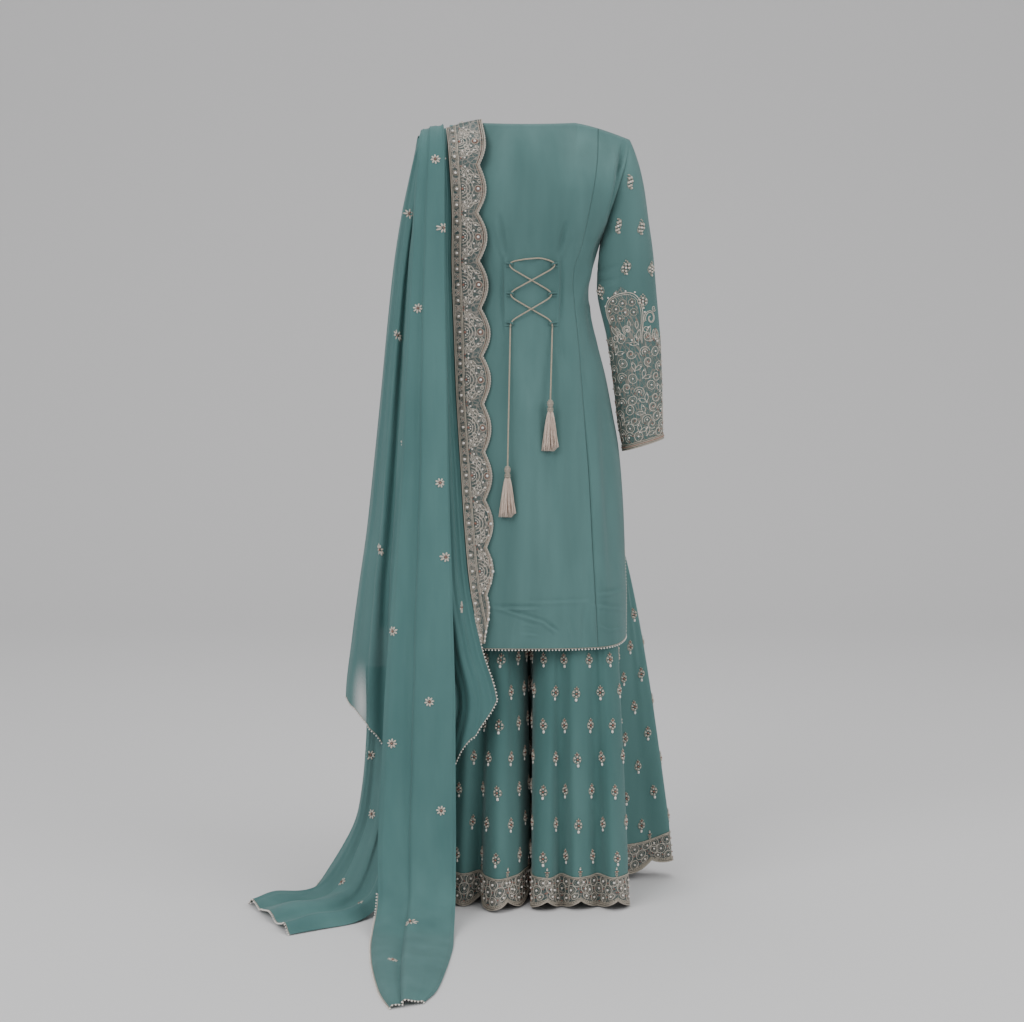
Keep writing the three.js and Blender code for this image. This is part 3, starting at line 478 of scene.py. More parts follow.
def kameez_point(front, side, row):
    yard = 1.0 if front else -1.0
    neck_drop = NECK_FRONT_DROP if front else NECK_BACK_DROP
    above = row < 1.0
    centre_z = row_height(row, neck_drop)
    opened = kameez_level("frontEdge" if front else "backEdge", centre_z)
    hole_x, hole_y, hole_z = armhole_point(front, row)
    edge_x = np.where(above, hole_x, kameez_level("half", centre_z))
    edge_y = np.where(above, hole_y, yard * np.maximum(yard * opened, 0.0))
    edge_z = np.where(above, hole_z, centre_z)
    round_power = kameez_level("round", centre_z)
    depth = kameez_level("front" if front else "back", centre_z)
    turn = np.pi / 2 * side
    reach = np.sign(side) * np.abs(np.sin(turn)) ** (2.0 / round_power)
    fullness = np.maximum(np.cos(turn), 0.0) ** (2.0 / round_power)
    x = edge_x * reach
    body_y = edge_y + (yard * depth - edge_y) * fullness
    body_z = centre_z + (edge_z - centre_z) * reach**2
    top_x = SHOULDER_HALF * reach
    neck_curve = np.maximum(1.0 - (top_x / (NECK_HALF + 6.0)) ** 2, 0.0)
    lowered = lerp(centre_z + neck_drop, edge_z + SHOULDER_DROP, reach**2)
    top_y = edge_y + (yard * (depth + 4.0) - edge_y) * neck_curve
    top_z = shoulder_z(top_x, neck_drop) + lowered
    blend = smoothstep(row, 0.0, 0.55)
    corner = HEM_CORNER_RISE * np.abs(reach) ** 14 * smoothstep(row, 1.93, 2.0)
    return stack(x, lerp(top_y, body_y, blend), lerp(top_z, body_z, blend) + corner)


def princess_side(row):
    z = row_height(row, NECK_BACK_DROP)
    half = np.where(row < 1.0, armhole_point(False, row)[0], kameez_level("half", z))
    round_power = kameez_level("round", z)
    ratio = column(PRINCESS, "z", "x", z) / half
    return np.arcsin(ratio ** (round_power / 2.0)) * 2.0 / np.pi


ARMHOLE_SHARE = 0.26
SHOULDER_ROW_EASE = 1.45
PRINCESS_GAP = 0.0015
SIDE_SEAM_GAP = 0.003


def kameez_row(b):
    """The panels' rows, a little closer together above the armpit than below it."""
    return np.where(b < ARMHOLE_SHARE, b / ARMHOLE_SHARE, 1.0 + (b - ARMHOLE_SHARE) / (1.0 - ARMHOLE_SHARE))


def closer_at_hem(b):
    """Rows a little wider apart at the shoulder than at the hem, where the sharp creases are."""
    return b * (SHOULDER_ROW_EASE - (SHOULDER_ROW_EASE - 1.0) * b)


def centre_back(a, b):
    row = kameez_row(closer_at_hem(b))
    limit = princess_side(row) - PRINCESS_GAP
    return kameez_point(False, lerp(-limit, limit, a), row)


def side_back_right(a, b):
    row = kameez_row(closer_at_hem(b))
    start = princess_side(row) + PRINCESS_GAP
    return kameez_point(False, lerp(start, 1.0 - SIDE_SEAM_GAP, a), row)


def front_panel(a, b):
    row = kameez_row(closer_at_hem(b))
    limit = 1.0 - SIDE_SEAM_GAP
    points = kameez_point(True, lerp(limit, -limit, a), row)
    points[..., 1] += SEAM_GAP * (row < 0.001)
    return points


CAP_OUT = -0.6
CAP_TUCK = 0.965


def right_sleeve(a, b):
    angle = 2.0 * np.pi * a
    front = np.sin(angle) >= 0.0
    inner_x = row_column(SLEEVE_LEVELS, "innerX", b)
    inner_z = row_column(SLEEVE_LEVELS, "innerZ", b)
    outer_x = row_column(SLEEVE_LEVELS, "outerX", b)
    outer_z = row_column(SLEEVE_LEVELS, "outerZ", b)
    out = (1.0 + np.cos(angle)) / 2.0
    y = row_column(SLEEVE_LEVELS, "y", b) + row_column(SLEEVE_LEVELS, "depth", b) * np.sin(angle)
    wrapped = np.mod(a, 1.0)
    around = np.where(front, 2.0 * wrapped, 2.0 * (1.0 - wrapped))
    cap_x, cap_y, cap_z = armhole_point(front, around)
    join = smoothstep(b, 0.0, 0.16)
    return stack(
        lerp(cap_x + CAP_OUT, lerp(inner_x, outer_x, out), join),
        lerp(cap_y * CAP_TUCK, y, join),
        lerp(cap_z - SEAM_GAP, lerp(inner_z, outer_z, out), join),
    )


# Gharara surfaces.
def hip_point(a, z):
    angle = np.pi * a
    half = hip_level("half", z)
    depth = np.where(a < 0.5, hip_level("back", z), hip_level("front", z))
    x = half * np.maximum(np.sin(angle), 0.0) ** 0.9
    y = -np.sign(np.cos(angle)) * depth * np.abs(np.cos(angle)) ** 0.9
    return stack(x + SEAM_GAP / 2, y, z)


def leg_ring(a, z):
    angle = 2.0 * np.pi * a
    half = hip_level("half", z)
    back = hip_level("legBack", z)
    front = hip_level("legFront", z)
    depth = np.where(np.mod(a, 1.0) < 0.5, back, front)
    inner = lerp(SEAM_GAP / 2, INNER_LEG_X, smoothstep(-z, -CROTCH_END, -FLARE_SEAM))
    return stack(lerp(inner, half, (1.0 - np.cos(angle)) / 2.0), -depth * np.sin(angle), z)


def upper_leg_right(a, b):
    z = lerp(WAIST_SEAM - SEAM_GAP, FLARE_SEAM, b)
    joined = smoothstep(-z, -CROTCH_TOP, -CROTCH_END)
    points = lerp(hip_point(a, z), leg_ring(a, z), joined[..., None])
    points[..., 1] += joined * SEAM_GAP * (a - 0.5)
    return points


def waistband(a, b):
    angle = 2.0 * np.pi * a
    z = lerp(WAIST_TOP, WAIST_SEAM, b)
    half = hip_level("half", z)
    front = hip_level("front", z)
    back = hip_level("back", z)
    depth = np.where(np.sin(angle) > 0.0, front, back)
    return stack(half * np.cos(angle), depth * np.sin(angle), z)


class ClosedCurve:
    """A smooth closed curve through points, with even steps along its length."""

    def __init__(self, points):
        self.points = np.asarray(points, float)
        self.steps = np.linspace(0.0, 1.0, 401)
        samples = self.at(self.steps)
        lengths = np.linalg.norm(np.diff(samples, axis=0), axis=1)
        self.lengths = np.concatenate([[0.0], np.cumsum(lengths)])

    def at(self, t):
        t = np.asarray(t, float)
        count = len(self.points)
        place = np.mod(t, 1.0) * count
        k = np.floor(place).astype(int)
        w = (place - k)[..., None]
        p0, p1, p2, p3 = (self.points[(k + step) % count] for step in (-1, 0, 1, 2))
        d0 = np.sqrt(np.linalg.norm(p1 - p0, axis=-1, keepdims=True))
        d1 = np.sqrt(np.linalg.norm(p2 - p1, axis=-1, keepdims=True))
        d2 = np.sqrt(np.linalg.norm(p3 - p2, axis=-1, keepdims=True))
        m1 = ((p1 - p0) / d0 - (p2 - p0) / (d0 + d1) + (p2 - p1) / d1) * d1
        m2 = ((p2 - p1) / d1 - (p3 - p1) / (d1 + d2) + (p3 - p2) / d2) * d1
        c2 = -3 * p1 + 3 * p2 - 2 * m1 - m2
        c3 = 2 * p1 - 2 * p2 + m1 + m2
        return p1 + m1 * w + c2 * w**2 + c3 * w**3

    def along(self, u):
        """The curve's own parameter at a share of its length."""
        return np.interp(np.mod(u, 1.0) * self.lengths[-1], self.lengths, self.steps)


def flare_surface(hem_rows):
    outline = ClosedCurve(np.stack([hem_rows["x"], hem_rows["y"], hem_rows["lift"]], axis=1))

    def surface(a, down):
        around = outline.along(a)
        hem = outline.at(around)
        top = leg_ring(around, np.full(np.shape(around), FLARE_SEAM))
        down = np.asarray(down, float)
        return stack(
            lerp(top[..., 0], hem[..., 0], down**WIDTH_EASE),
            lerp(top[..., 1], hem[..., 1], down**DEPTH_EASE),
            lerp(FLARE_SEAM - SEAM_GAP, FLOOR + SCALLOP_DEPTH + hem[..., 2], down),
        )

    return surface


FLARE_HEIGHT = FLARE_SEAM - FLOOR - SCALLOP_DEPTH
BAND_START = 1.0 - HEM_BAND / FLARE_HEIGHT


def flare_body(surface):
    return lambda a, b: surface(a, b * (BAND_START - SEAM_GAP / FLARE_HEIGHT))


def hem_band(surface):
    def band(a, b):
        points = surface(a, lerp(BAND_START, 1.0, b))
        points[..., 2] -= b * SCALLOP_DEPTH * np.abs(np.sin(np.pi * SCALLOPS_PER_LEG * a)) ** 0.8
        return points

    return band


# Dupatta surfaces.
def back_y(x, z):
    """How far back the kameez reaches at one place of its back."""
    z = np.maximum(z, KAMEEZ_HEM)
    edge = np.minimum(kameez_level("backEdge", z), 0.0)
    round_power = kameez_level("round", z)
    inside = np.maximum(1.0 - (np.abs(x) / kameez_level("half", z)) ** round_power, 0.0)
    return edge - (kameez_level("back", z) + edge) * inside ** (1.0 / round_power)


def clear_of_back(x, y, z):
    return np.where(z > -SHOULDER_DROP, y, np.minimum(y, back_y(x, z) - DRAPE_CLEARANCE - BORDER_WALL))


def back_fall_at(across, z):
    level = np.minimum(z, BACK_FALL["z"][0])
    left_x = fall_level("leftX", level)
    right_x = fall_level("rightX", level) - EDGE_GAP
    x = lerp(left_x, right_x, across)
    lift = column(BACK_FOLDS, "across", "lift", across) * smoothstep(-z, 8.0, 60.0)
    chord = lerp(fall_level("leftY", level), fall_level("rightY", level), across)
    return x, clear_of_back(x, chord - fall_level("swell", level) * lift, z)


def back_fall(a, b):
    across = row_column(BACK_FOLDS, "across", a)
    top = BACK_FALL_TOP + shoulder_z(lerp(BACK_FALL["leftX"][0], BACK_FALL["rightX"][0], across), 0.0)
    z = lerp(top, column(BACK_HEM, "across", "z", across), b**BACK_ROW_EASE)
    x, y = back_fall_at(across, z)
    return stack(x, y, z)


def back_fall_y(x, z):
    level = np.minimum(z, BACK_FALL["z"][0])
    left_x = fall_level("leftX", level)
    right_x = fall_level("rightX", level) - EDGE_GAP
    return back_fall_at(np.clip((x - left_x) / (right_x - left_x), 0.0, 1.0), z)[1]


def border_strip(a, b):
    z = lerp(BORDER_TOP, BORDER_END, b)
    inner_x = fall_level("rightX", z)
    inner_y = fall_level("rightY", z)
    scallop = column(BORDER_LINE, "z", "scallop", z) * np.abs(np.sin(np.pi * BORDER_SCALLOPS * b))
    x = lerp(inner_x, column(BORDER_LINE, "z", "x", z) + scallop, a)
    y = clear_of_back(x, lerp(inner_y, column(BORDER_LINE, "z", "y", z), a), z)
    return stack(x, y, z + shoulder_z(x, 0.0) * (1.0 - smoothstep(b, 0.0, 0.06)))


def centre_fall(a, b):
    across = row_column(CENTRE_FOLDS, "across", a)
    lift = row_column(CENTRE_FOLDS, "lift", a)
    x = between(CENTRE_FALL, "X", b, across)
    on_floor = smoothstep(b, 0.66, 0.74)
    set_back = between(CENTRE_FALL, "Back", b, across)
    rise = row_column(CENTRE_FALL, "rise", b) * lift
    slope = shoulder_z(x, 0.0) * (1.0 - smoothstep(b, 0.0, 0.12))
    y = row_column(CENTRE_FALL, "y", b) + set_back - rise * (1.0 - on_floor)
    return stack(x, y, row_column(CENTRE_FALL, "z", b) + slope + rise * on_floor)


def side_tail(a, b):
    across = row_column(TAIL_FOLDS, "across", a)
    lift = row_column(TAIL_FOLDS, "lift", a)
    on_floor = smoothstep(b, 0.5, 0.72)
    rise = row_column(SIDE_TAIL, "rise", b) * lift
    x = between(SIDE_TAIL, "X", b, across)
    z = row_column(SIDE_TAIL, "z", b)
    own = between(SIDE_TAIL, "Y", b, across)
    own = own - rise * (1.0 - on_floor)
    under = back_fall_y(x, z) + TAIL_UNDER
    return stack(x, lerp(under, own, smoothstep(b, 0.0, 0.3)), z + rise * on_floor)


def front_fall(a, b):
    across = row_column(FRONT_FOLDS, "across", 1.0 - a)
    lift = row_column(FRONT_FOLDS, "lift", 1.0 - a)
    x = between(FRONT_FALL, "X", b, across)
    y = between(FRONT_FALL, "Y", b, across)
    top = shoulder_z(x, 0.0) * (1.0 - smoothstep(b, 0.0, 0.3))
    return stack(x, y + row_column(FRONT_FALL, "rise", b) * lift, row_column(FRONT_FALL, "z", b) + top)


class Sheet:
    """A cloth surface sampled on a grid, with its outward normals. Rows run down and columns across."""

    def __init__(self, surface, across, along, closed=False, relief=None):
        a, b = np.meshgrid(np.linspace(0.0, 1.0, across + 1), np.linspace(0.0, 1.0, along + 1))
        self.points = surface(a, b)
        self.closed = closed
        self.a = a
        self.b = b
        self.find_normals()
        wide = np.linalg.norm(np.gradient(self.points, axis=1), axis=-1) * across
        tall = np.linalg.norm(np.gradient(self.points, axis=0), axis=-1) * along
        self.scale = np.stack([wide, tall], axis=-1)
        if relief:
            self.push(relief(self))

    def find_normals(self):
        down = np.gradient(self.points, axis=0)
        if self.closed:
            ring = self.points[:, :-1]
            sideways = (np.roll(ring, -1, axis=1) - np.roll(ring, 1, axis=1)) / 2.0
            sideways = np.concatenate([sideways, sideways[:, :1]], axis=1)
        else:
            sideways = np.gradient(self.points, axis=1)
        normals = np.cross(down, sideways)
        lengths = np.linalg.norm(normals, axis=-1, keepdims=True)
        self.normals = normals / np.maximum(lengths, 1e-9)

    def push(self, distance):
        """Moves each point out along its normal, then finds the normals again."""
        self.points = self.points + self.normals * distance[..., None]
        self.find_normals()

    def look(self, grid, u, v):
        rows, columns = grid.shape[:2]
        u = np.mod(u, 1.0) if self.closed else np.clip(u, 0.0, 1.0)
        x = u * (columns - 1)
        y = np.clip(v, 0.0, 1.0) * (rows - 1)
        i = np.minimum(x.astype(int), columns - 2)
        j = np.minimum(y.astype(int), rows - 2)
        fx = (x - i)[..., None]
        fy = (y - j)[..., None]
        top = lerp(grid[j, i], grid[j, i + 1], fx)
        bottom = lerp(grid[j + 1, i], grid[j + 1, i + 1], fx)
        return lerp(top, bottom, fy)

    def at(self, u, v, lift=0.0):
        """Points on the sheet, lifted off its face."""
        u, v = np.broadcast_arrays(np.asarray(u, float), np.asarray(v, float))
        lift = np.broadcast_to(np.asarray(lift, float), u.shape)
        return self.look(self.points, u, v) + self.look(self.normals, u, v) * lift[..., None]

    def sizes(self):
        """Mean width and length of the cloth in millimetres."""
        wide = np.linalg.norm(np.diff(self.points, axis=1), axis=-1).sum(axis=1).mean()
        tall = np.linalg.norm(np.diff(self.points, axis=0), axis=-1).sum(axis=0).mean()
        return wide, tall


# Creases of the kameez, from one end to the other in x and z. A soft one is a trough or a ridge, and a
# pressed one is a step with its lower side to the left of its direction.
SOFT_CREASES = table(
    "x0 z0 x1 z1 depth width",
    (-41, -246, -41, -381, 1.6, 3.2),
    (58, -246, 56, -381, 1.6, 3.2),
    (-47, -250, -46, -390, -1.4, 4),
    (64, -250, 62, -390, -1.4, 4),
    (-52, -176, -42, -246, -2.2, 5),
    (-60, -200, -50, -262, -1.2, 6),
    (70, -190, 59, -246, -2.4, 5),
    (80, -214, 66, -268, -1.2, 6),
    (2, -196, 4, -262, -1.8, 9),
    (-24, -200, -20, -300, 1.2, 10),
    (28, -205, 26, -300, 1.0, 10),
    (-44, -384, -50, -440, -1.6, 6),
    (60, -384, 68, -452, -1.8, 7),
    (8, -390, 6, -500, -1.2, 12),
    (178, -42, 167, -112, -4.6, 5),
    (167, -112, 150, -176, -4.2, 5),
    (160, -60, 144, -180, 2.6, 7),
    (148, -200, 122, -262, -2.6, 8),
    (118, -262, 96, -330, 1.8, 9),
    (112, -300, 128, -420, -1.8, 9),
    (86, -330, 96, -560, 2.2, 13),
    (40, -420, 44, -700, -2.6, 22),
    (-10, -480, -14, -840, 2.6, 26),
    (72, -520, 84, -800, -2.2, 20),
    (30, -600, 30, -900, 1.9, 16),
    (140, -520, 160, -850, -2.6, 14),
    (-30, -60, -36, -150, -1.0, 14),
    (46, -52, 50, -180, -1.2, 16),
    (-24, -400, -32, -930, -1.8, 14),
    (0, -430, -2, -930, -1.9, 13),
    (22, -420, 26, -920, 1.4, 12),
    (58, -440, 66, -900, 1.8, 13),
    (98, -450, 114, -900, -1.9, 12),
    (122, -470, 142, -900, 1.8, 13),
    (-22, -40, -28, -190, 1.0, 11),
    (18, -30, 14, -190, 1.0, 12),
    (80, -44, 74, -200, -1.1, 10),
    (104, -66, 92, -240, 1.1, 10),
    (106, -890, 104, -952, -1.8, 6),
    (118, -885, 120, -950, 1.2, 6),
)
PRESSED_CREASES = table(
    "x0 z0 x1 z1 depth width",
    (-59, -886, 19, -886, 1.9, 3.4),
    (-48, -888, 32, -912, 1.8, 3.2),
    (30, -912, 54, -930, 1.9, 3.2),
    (-8, -914, 16, -919, 0.9, 2.8),
    (-8, -932, 20, -936, 0.8, 2.8),
    (3, -875, 114, -874, 0.7, 3.4),
    (128, -864, 182, -860, 1.4, 3.6),
    (122, -882, 178, -895, 1.2, 3.4),
    (134, -921, 153, -931, 0.9, 3),
    (153, -931, 178, -930, 0.9, 3),
    (-20, -905, -28, -950, 0.8, 4),
    (76, -905, 84, -950, 0.7, 4),
    (128, -300, 108, -345, 1.2, 4),
    (132, -330, 112, -356, 0.9, 4),
)


def crease(x, z, row):
    """How far along and to the side of one crease each point lies, and how near it is, 1 being on it."""
    dx = row["x1"] - row["x0"]
    dz = row["z1"] - row["z0"]
    length = math.hypot(dx, dz)
    along = ((x - row["x0"]) * dx + (z - row["z0"]) * dz) / length**2
    side = ((x - row["x0"]) * dz - (z - row["z0"]) * dx) / length
    inside = np.clip(along, 0.0, 1.0)
    beyond = (along - inside) * length
    return inside, side, np.exp(-(side**2 + beyond**2) / row["width"] ** 2)


def soft_crease(x, z, row):
    along, _, near = crease(x, z, row)
    return row["depth"] * (0.35 + 0.65 * np.sin(np.pi * along)) * near


def pressed_crease(x, z, row):
    along, side, near = crease(x, z, row)
    return row["depth"] * (0.3 + 0.7 * np.sin(np.pi * along)) * 1.65 * side / row["width"] * near


def crease_rows(rows):
    return [{name: float(rows[name][k]) for name in rows} for k in range(len(rows["x0"]))]


CREASE_GAIN = 2.5
SIDE_SEAM_FADE = 0.3
HIDDEN_CREASE_DROP = 9.0


def crease_relief(x, z):
    total = sum(soft_crease(x, z, row) for row in crease_rows(SOFT_CREASES))
    return CREASE_GAIN * (total + sum(pressed_crease(x, z, row) for row in crease_rows(PRESSED_CREASES)))


def back_relief(sheet):
    return crease_relief(sheet.points[..., 0], sheet.points[..., 2])


def side_relief(sheet):
    """The same creases on a side back, fading out at its side seam."""
    return back_relief(sheet) * smoothstep(1.0 - sheet.a, 0.0, SIDE_SEAM_FADE)


def mirrored_side_relief(sheet):
    """The hidden side has creases of the same kind, a little lower down."""
    total = crease_relief(-sheet.points[..., 0], sheet.points[..., 2] - HIDDEN_CREASE_DROP)
    return total * smoothstep(1.0 - sheet.a, 0.0, SIDE_SEAM_FADE)


def front_relief(sheet):
    """Soft drag lines over the front, from the bust down to the hem."""
    x, _, z = np.moveaxis(sheet.points, -1, 0)
    lines = 1.3 * np.sin(x / 21.0 + 0.4 * np.sin(z / 130.0)) * smoothstep(-z, 300.0, 620.0)
    waist = 1.5 * np.sin(z / 9.0 + x / 60.0) * np.exp(-(((z + 330.0) / 60.0) ** 2)) * (np.abs(x) / 120.0) ** 2
    return lines + waist


SLEEVE_CREASES = table(
    "x0 z0 x1 z1 depth width",
    (0.60, 0.06, 0.70, 0.20, -3.2, 7),
    (0.52, 0.10, 0.60, 0.34, 2.2, 7),
    (0.50, 0.34, 0.72, 0.42, -1.8, 6),
    (0.50, 0.42, 0.68, 0.47, -2.0, 5),
    (0.52, 0.50, 0.70, 0.50, 1.6, 5),
    (0.80, 0.30, 0.86, 0.62, 1.2, 10),
    (0.94, 0.10, 0.98, 0.50, -1.2, 9),
    (0.585, 0.56, 0.585, 0.99, -2.2, 3.4),
    (0.60, 0.58, 0.60, 0.99, 1.2, 3.2),
    (0.10, 0.12, 0.16, 0.52, -1.6, 9),
    (0.34, 0.30, 0.48, 0.40, -1.8, 6),
    (0.30, 0.42, 0.46, 0.47, 1.6, 6),
)
SLEEVE_GIRTH = 215.0
SLEEVE_REACH = 500.0


def sleeve_relief(sheet):
    """The same soft creases, laid out over the unrolled sleeve."""
    total = 0.0
    for row in crease_rows(SLEEVE_CREASES):
        for name, size in (("x", SLEEVE_GIRTH), ("z", SLEEVE_REACH)):
            row[name + "0"] *= size
            row[name + "1"] *= size
        total = total + soft_crease(sheet.a * SLEEVE_GIRTH, sheet.b * SLEEVE_REACH, row)
    return total * smoothstep(sheet.b, 0.0, 0.05)


def mirrored_sleeve_relief(sheet):
    """The left sleeve's creases: like the right one's, on the other side."""
    return sleeve_relief(sheet)[:, ::-1]


FLARE_PLEATS = 30


def flare_relief(seed):
    """Gathers under the flare's seam: deep and sharp at the top, soft and wide at the hem."""

    def relief(sheet):
        total = np.zeros(sheet.a.shape)
        for k in range(FLARE_PLEATS):
            centre = (k + 0.38 * math.sin(2.3 * k + seed)) / FLARE_PLEATS
            height = 2.2 + 1.6 * math.sin(1.7 * k + seed)
            width = 0.0075 + 0.003 * math.sin(2.9 * k + 2 * seed)
            reach = 0.55 + 0.4 * math.sin(1.3 * k + 3 * seed)
            sway = 0.006 * np.sin(3.0 * sheet.b + k)
            away = (sheet.a - centre + sway + 0.5) % 1.0 - 0.5
            wide = width * (1.0 + 1.3 * sheet.b)
            fade = lerp(1.25, 0.3, smoothstep(sheet.b, 0.0, reach + 0.25))
            total += height * fade * np.exp(-((away / wide) ** 2))
        return total * smoothstep(1.0 - sheet.b, 0.0, 0.04)

    return relief


def pleat(across, centre, width, steep_left):
    """An overlapped pleat: a slow rise and a sudden step back. Its height is one."""
    side = (across - centre) / width
    side = -side if steep_left else side
    return smoothstep(side, -1.0, 0.0) * (1.0 - smoothstep(side, 0.0, 0.24))


BACK_PLEATS = table(
    "top hem width height left",
    (0.10, 0.06, 0.08, 5, 0),
    (0.20, 0.16, 0.09, 6, 1),
    (0.30, 0.29, 0.08, 5, 1),
    (0.40, 0.41, 0.07, 5, 0),
    (0.50, 0.52, 0.08, 6, 1),
    (0.60, 0.62, 0.07, 4, 0),
    (0.69, 0.70, 0.06, 5, 1),
    (0.79, 0.80, 0.06, 5, 0),
    (0.88, 0.89, 0.07, 5, 1),
    (0.95, 0.95, 0.05, 3, 0),
)
CENTRE_PLEATS = table(
    "top hem width height left",
    (0.14, 0.10, 0.12, 1.2, 0),
    (0.43, 0.44, 0.42, 6, 1),
    (0.72, 0.76, 0.16, 1.2, 0),
    (0.95, 0.95, 0.10, 2.5, 0),
)
TAIL_PLEATS = table(
    "top hem width height left",
    (0.16, 0.12, 0.12, 5, 0),
    (0.38, 0.34, 0.14, 6, 1),
    (0.58, 0.60, 0.14, 5, 0),
    (0.80, 0.84, 0.12, 5, 1),
)
FRONT_PLEATS = table(
    "top hem width height left",
    (0.14, 0.12, 0.10, 5, 0),
    (0.32, 0.30, 0.12, 6, 1),
    (0.48, 0.50, 0.12, 5, 0),
    (0.66, 0.68, 0.12, 6, 1),
    (0.84, 0.86, 0.10, 5, 0),
)


PLEAT_CRUMPLE = 0.7


def pleat_relief(rows, seed):
    """Pleats that run down a fall, with a slow crumple over them."""

    def relief(sheet):
        total = np.zeros(sheet.a.shape)
        for k in range(len(rows["top"])):
            sway = 0.010 * np.sin(5.0 * sheet.b + 1.7 * k + seed)
            centre = lerp(rows["top"][k], rows["hem"][k], sheet.b) + sway
            uneven = 0.75 + 0.25 * np.sin(4.0 * sheet.b + 2.1 * k + seed)
            shape = pleat(sheet.a, centre, rows["width"][k], rows["left"][k] > 0.5)
            total += rows["height"][k] * uneven * shape
        x, _, z = np.moveaxis(sheet.points, -1, 0)
        slow = np.sin(z / 47.0 + x / 31.0 + seed) * np.sin(z / 83.0 - x / 23.0 + 2.0 * seed)
        fine = np.sin(z / 19.0 - x / 13.0 + seed) * np.sin(z / 37.0 + x / 17.0)
        total += PLEAT_CRUMPLE * (1.2 * slow + 0.5 * fine)
        sides = smoothstep(sheet.a, 0.0, 0.03) * smoothstep(1.0 - sheet.a, 0.0, 0.03)
        return total * smoothstep(sheet.b, 0.0, 0.05) * sides

    return relief


def new_object(name, data):
    piece = bpy.data.objects.new(name, data)
    bpy.context.scene.collection.objects.link(piece)
    return piece


def mesh_piece(name, points, faces, material, uvs=None):
    """A smooth mesh from points in millimetres; faces is an array of triangles or of quads."""
    data = bpy.data.meshes.new(name)
    faces = np.asarray(faces, int)
    sides = faces.shape[1]
    data.vertices.add(len(points))
    data.vertices.foreach_set("co", (np.asarray(points, float) * MM).ravel())
    data.loops.add(faces.size)
    data.loops.foreach_set("vertex_index", faces.ravel())
    data.polygons.add(len(faces))
    data.polygons.foreach_set("loop_start", np.arange(0, faces.size, sides))
    data.polygons.foreach_set("use_smooth", np.ones(len(faces), bool))
    data.update(calc_edges=True)
    if uvs is not None:
        layer = data.uv_layers.new(name="cloth")
        layer.data.foreach_set("uv", np.asarray(uvs, float).ravel())
    data.materials.append(material)
    return new_object(name, data)


def cloth_piece(name, sheet, material, thickness=0.8):
    """The cloth shell of a sheet, with its thread lines laid out in metres in the uv map."""
    rows, columns = sheet.a.shape
    wide, tall = sheet.sizes()
    kept = columns - 1 if sheet.closed else columns
    i, j = np.meshgrid(np.arange(columns - 1), np.arange(rows - 1))
    i = i.ravel()
    j = j.ravel()
    right = (i + 1) % kept if sheet.closed else i + 1
    faces = np.stack([j * kept + i, (j + 1) * kept + i, (j + 1) * kept + right, j * kept + right], axis=1)
    corners = [(i, j), (i, j + 1), (i + 1, j + 1), (i + 1, j)]
    uvs = np.stack(
        [np.stack([c / (columns - 1) * wide, r / (rows - 1) * tall], axis=1) for c, r in corners], axis=1
    )
    points = sheet.points[:, :kept].reshape(-1, 3)
    piece = mesh_piece(name, points, faces, material, uvs * MM)
    if thickness:
        shell = piece.modifiers.new("cloth thickness", "SOLIDIFY")
        shell.thickness = thickness * MM
        shell.offset = -1.0
    return piece


# Materials.
def node(tree, kind, inputs=None, **settings):
    """A shader node with its settings and the values of its inputs."""
    made = tree.nodes.new("ShaderNode" + kind)
    for key, value in settings.items():
        setattr(made, key, value)
    for key, value in (inputs or {}).items():
        made.inputs[key].default_value = value
    return made


def link(tree, *pairs):
    """Joins each output to the input that stands beside it."""
    for output, target in pairs:
        tree.links.new(output, target)


def base_material(name, values):
    """A material of one shader, whose sockets take the values by name."""
    material = bpy.data.materials.new(name)
    material.use_nodes = True
    tree = material.node_tree
    tree.nodes.clear()
    shader = node(tree, "BsdfPrincipled", values)
    link(tree, (shader.outputs["BSDF"], node(tree, "OutputMaterial").inputs["Surface"]))
    return material, tree, shader


def colour_variation(tree, shader, dark, light, scale, detail, stretch=1.0):
    """Soft uneven dye: a slow noise between two close tones, drawn out along the fall of the cloth."""
    place = node(tree, "TexCoord")
    fall = node(tree, "Mapping", {"Scale": (1.0, 1.0, stretch)})
    noise = node(tree, "TexNoise", {"Scale": scale, "Detail": detail})
    ramp = node(tree, "ValToRGB")
    for stop, position, colour in zip(ramp.color_ramp.elements, (0.3, 0.72), (dark, light)):
        stop.position = position
        stop.color = (*colour, 1.0)
    link(
        tree,
        (place.outputs["Object"], fall.inputs["Vector"]),
        (fall.outputs["Vector"], noise.inputs["Vector"]),
        (noise.outputs["Fac"], ramp.inputs["Fac"]),
        (ramp.outputs["Color"], shader.inputs["Base Color"]),
    )


WEAVE_SCALE = 620.0
CRUMPLE_SCALE = 34.0


def woven_bump(tree, shader):
    """Crossed thread lines from the uv map, with a slow crumple under them."""
    place = node(tree, "TexCoord")
    cross = node(tree, "Math", operation="MULTIPLY")
    slow = node(tree, "TexNoise", {"Scale": CRUMPLE_SCALE, "Detail": 5.0})
    fine = node(tree, "Bump", {"Strength": 0.35, "Distance": 0.0004})
    wide = node(tree, "Bump", {"Strength": 0.25, "Distance": 0.002})
    for side, direction in enumerate("XY"):
        wave = node(tree, "TexWave", {"Scale": WEAVE_SCALE, "Distortion": 0.6}, bands_direction=direction)
        link(tree, (place.outputs["UV"], wave.inputs["Vector"]), (wave.outputs["Fac"], cross.inputs[side]))
    link(
        tree,
        (place.outputs["Object"], slow.inputs["Vector"]),
        (cross.outputs[0], fine.inputs["Height"]),
        (slow.outputs["Fac"], wide.inputs["Height"]),
        (fine.outputs["Normal"], wide.inputs["Normal"]),
        (wide.outputs["Normal"], shader.inputs["Normal"]),
    )


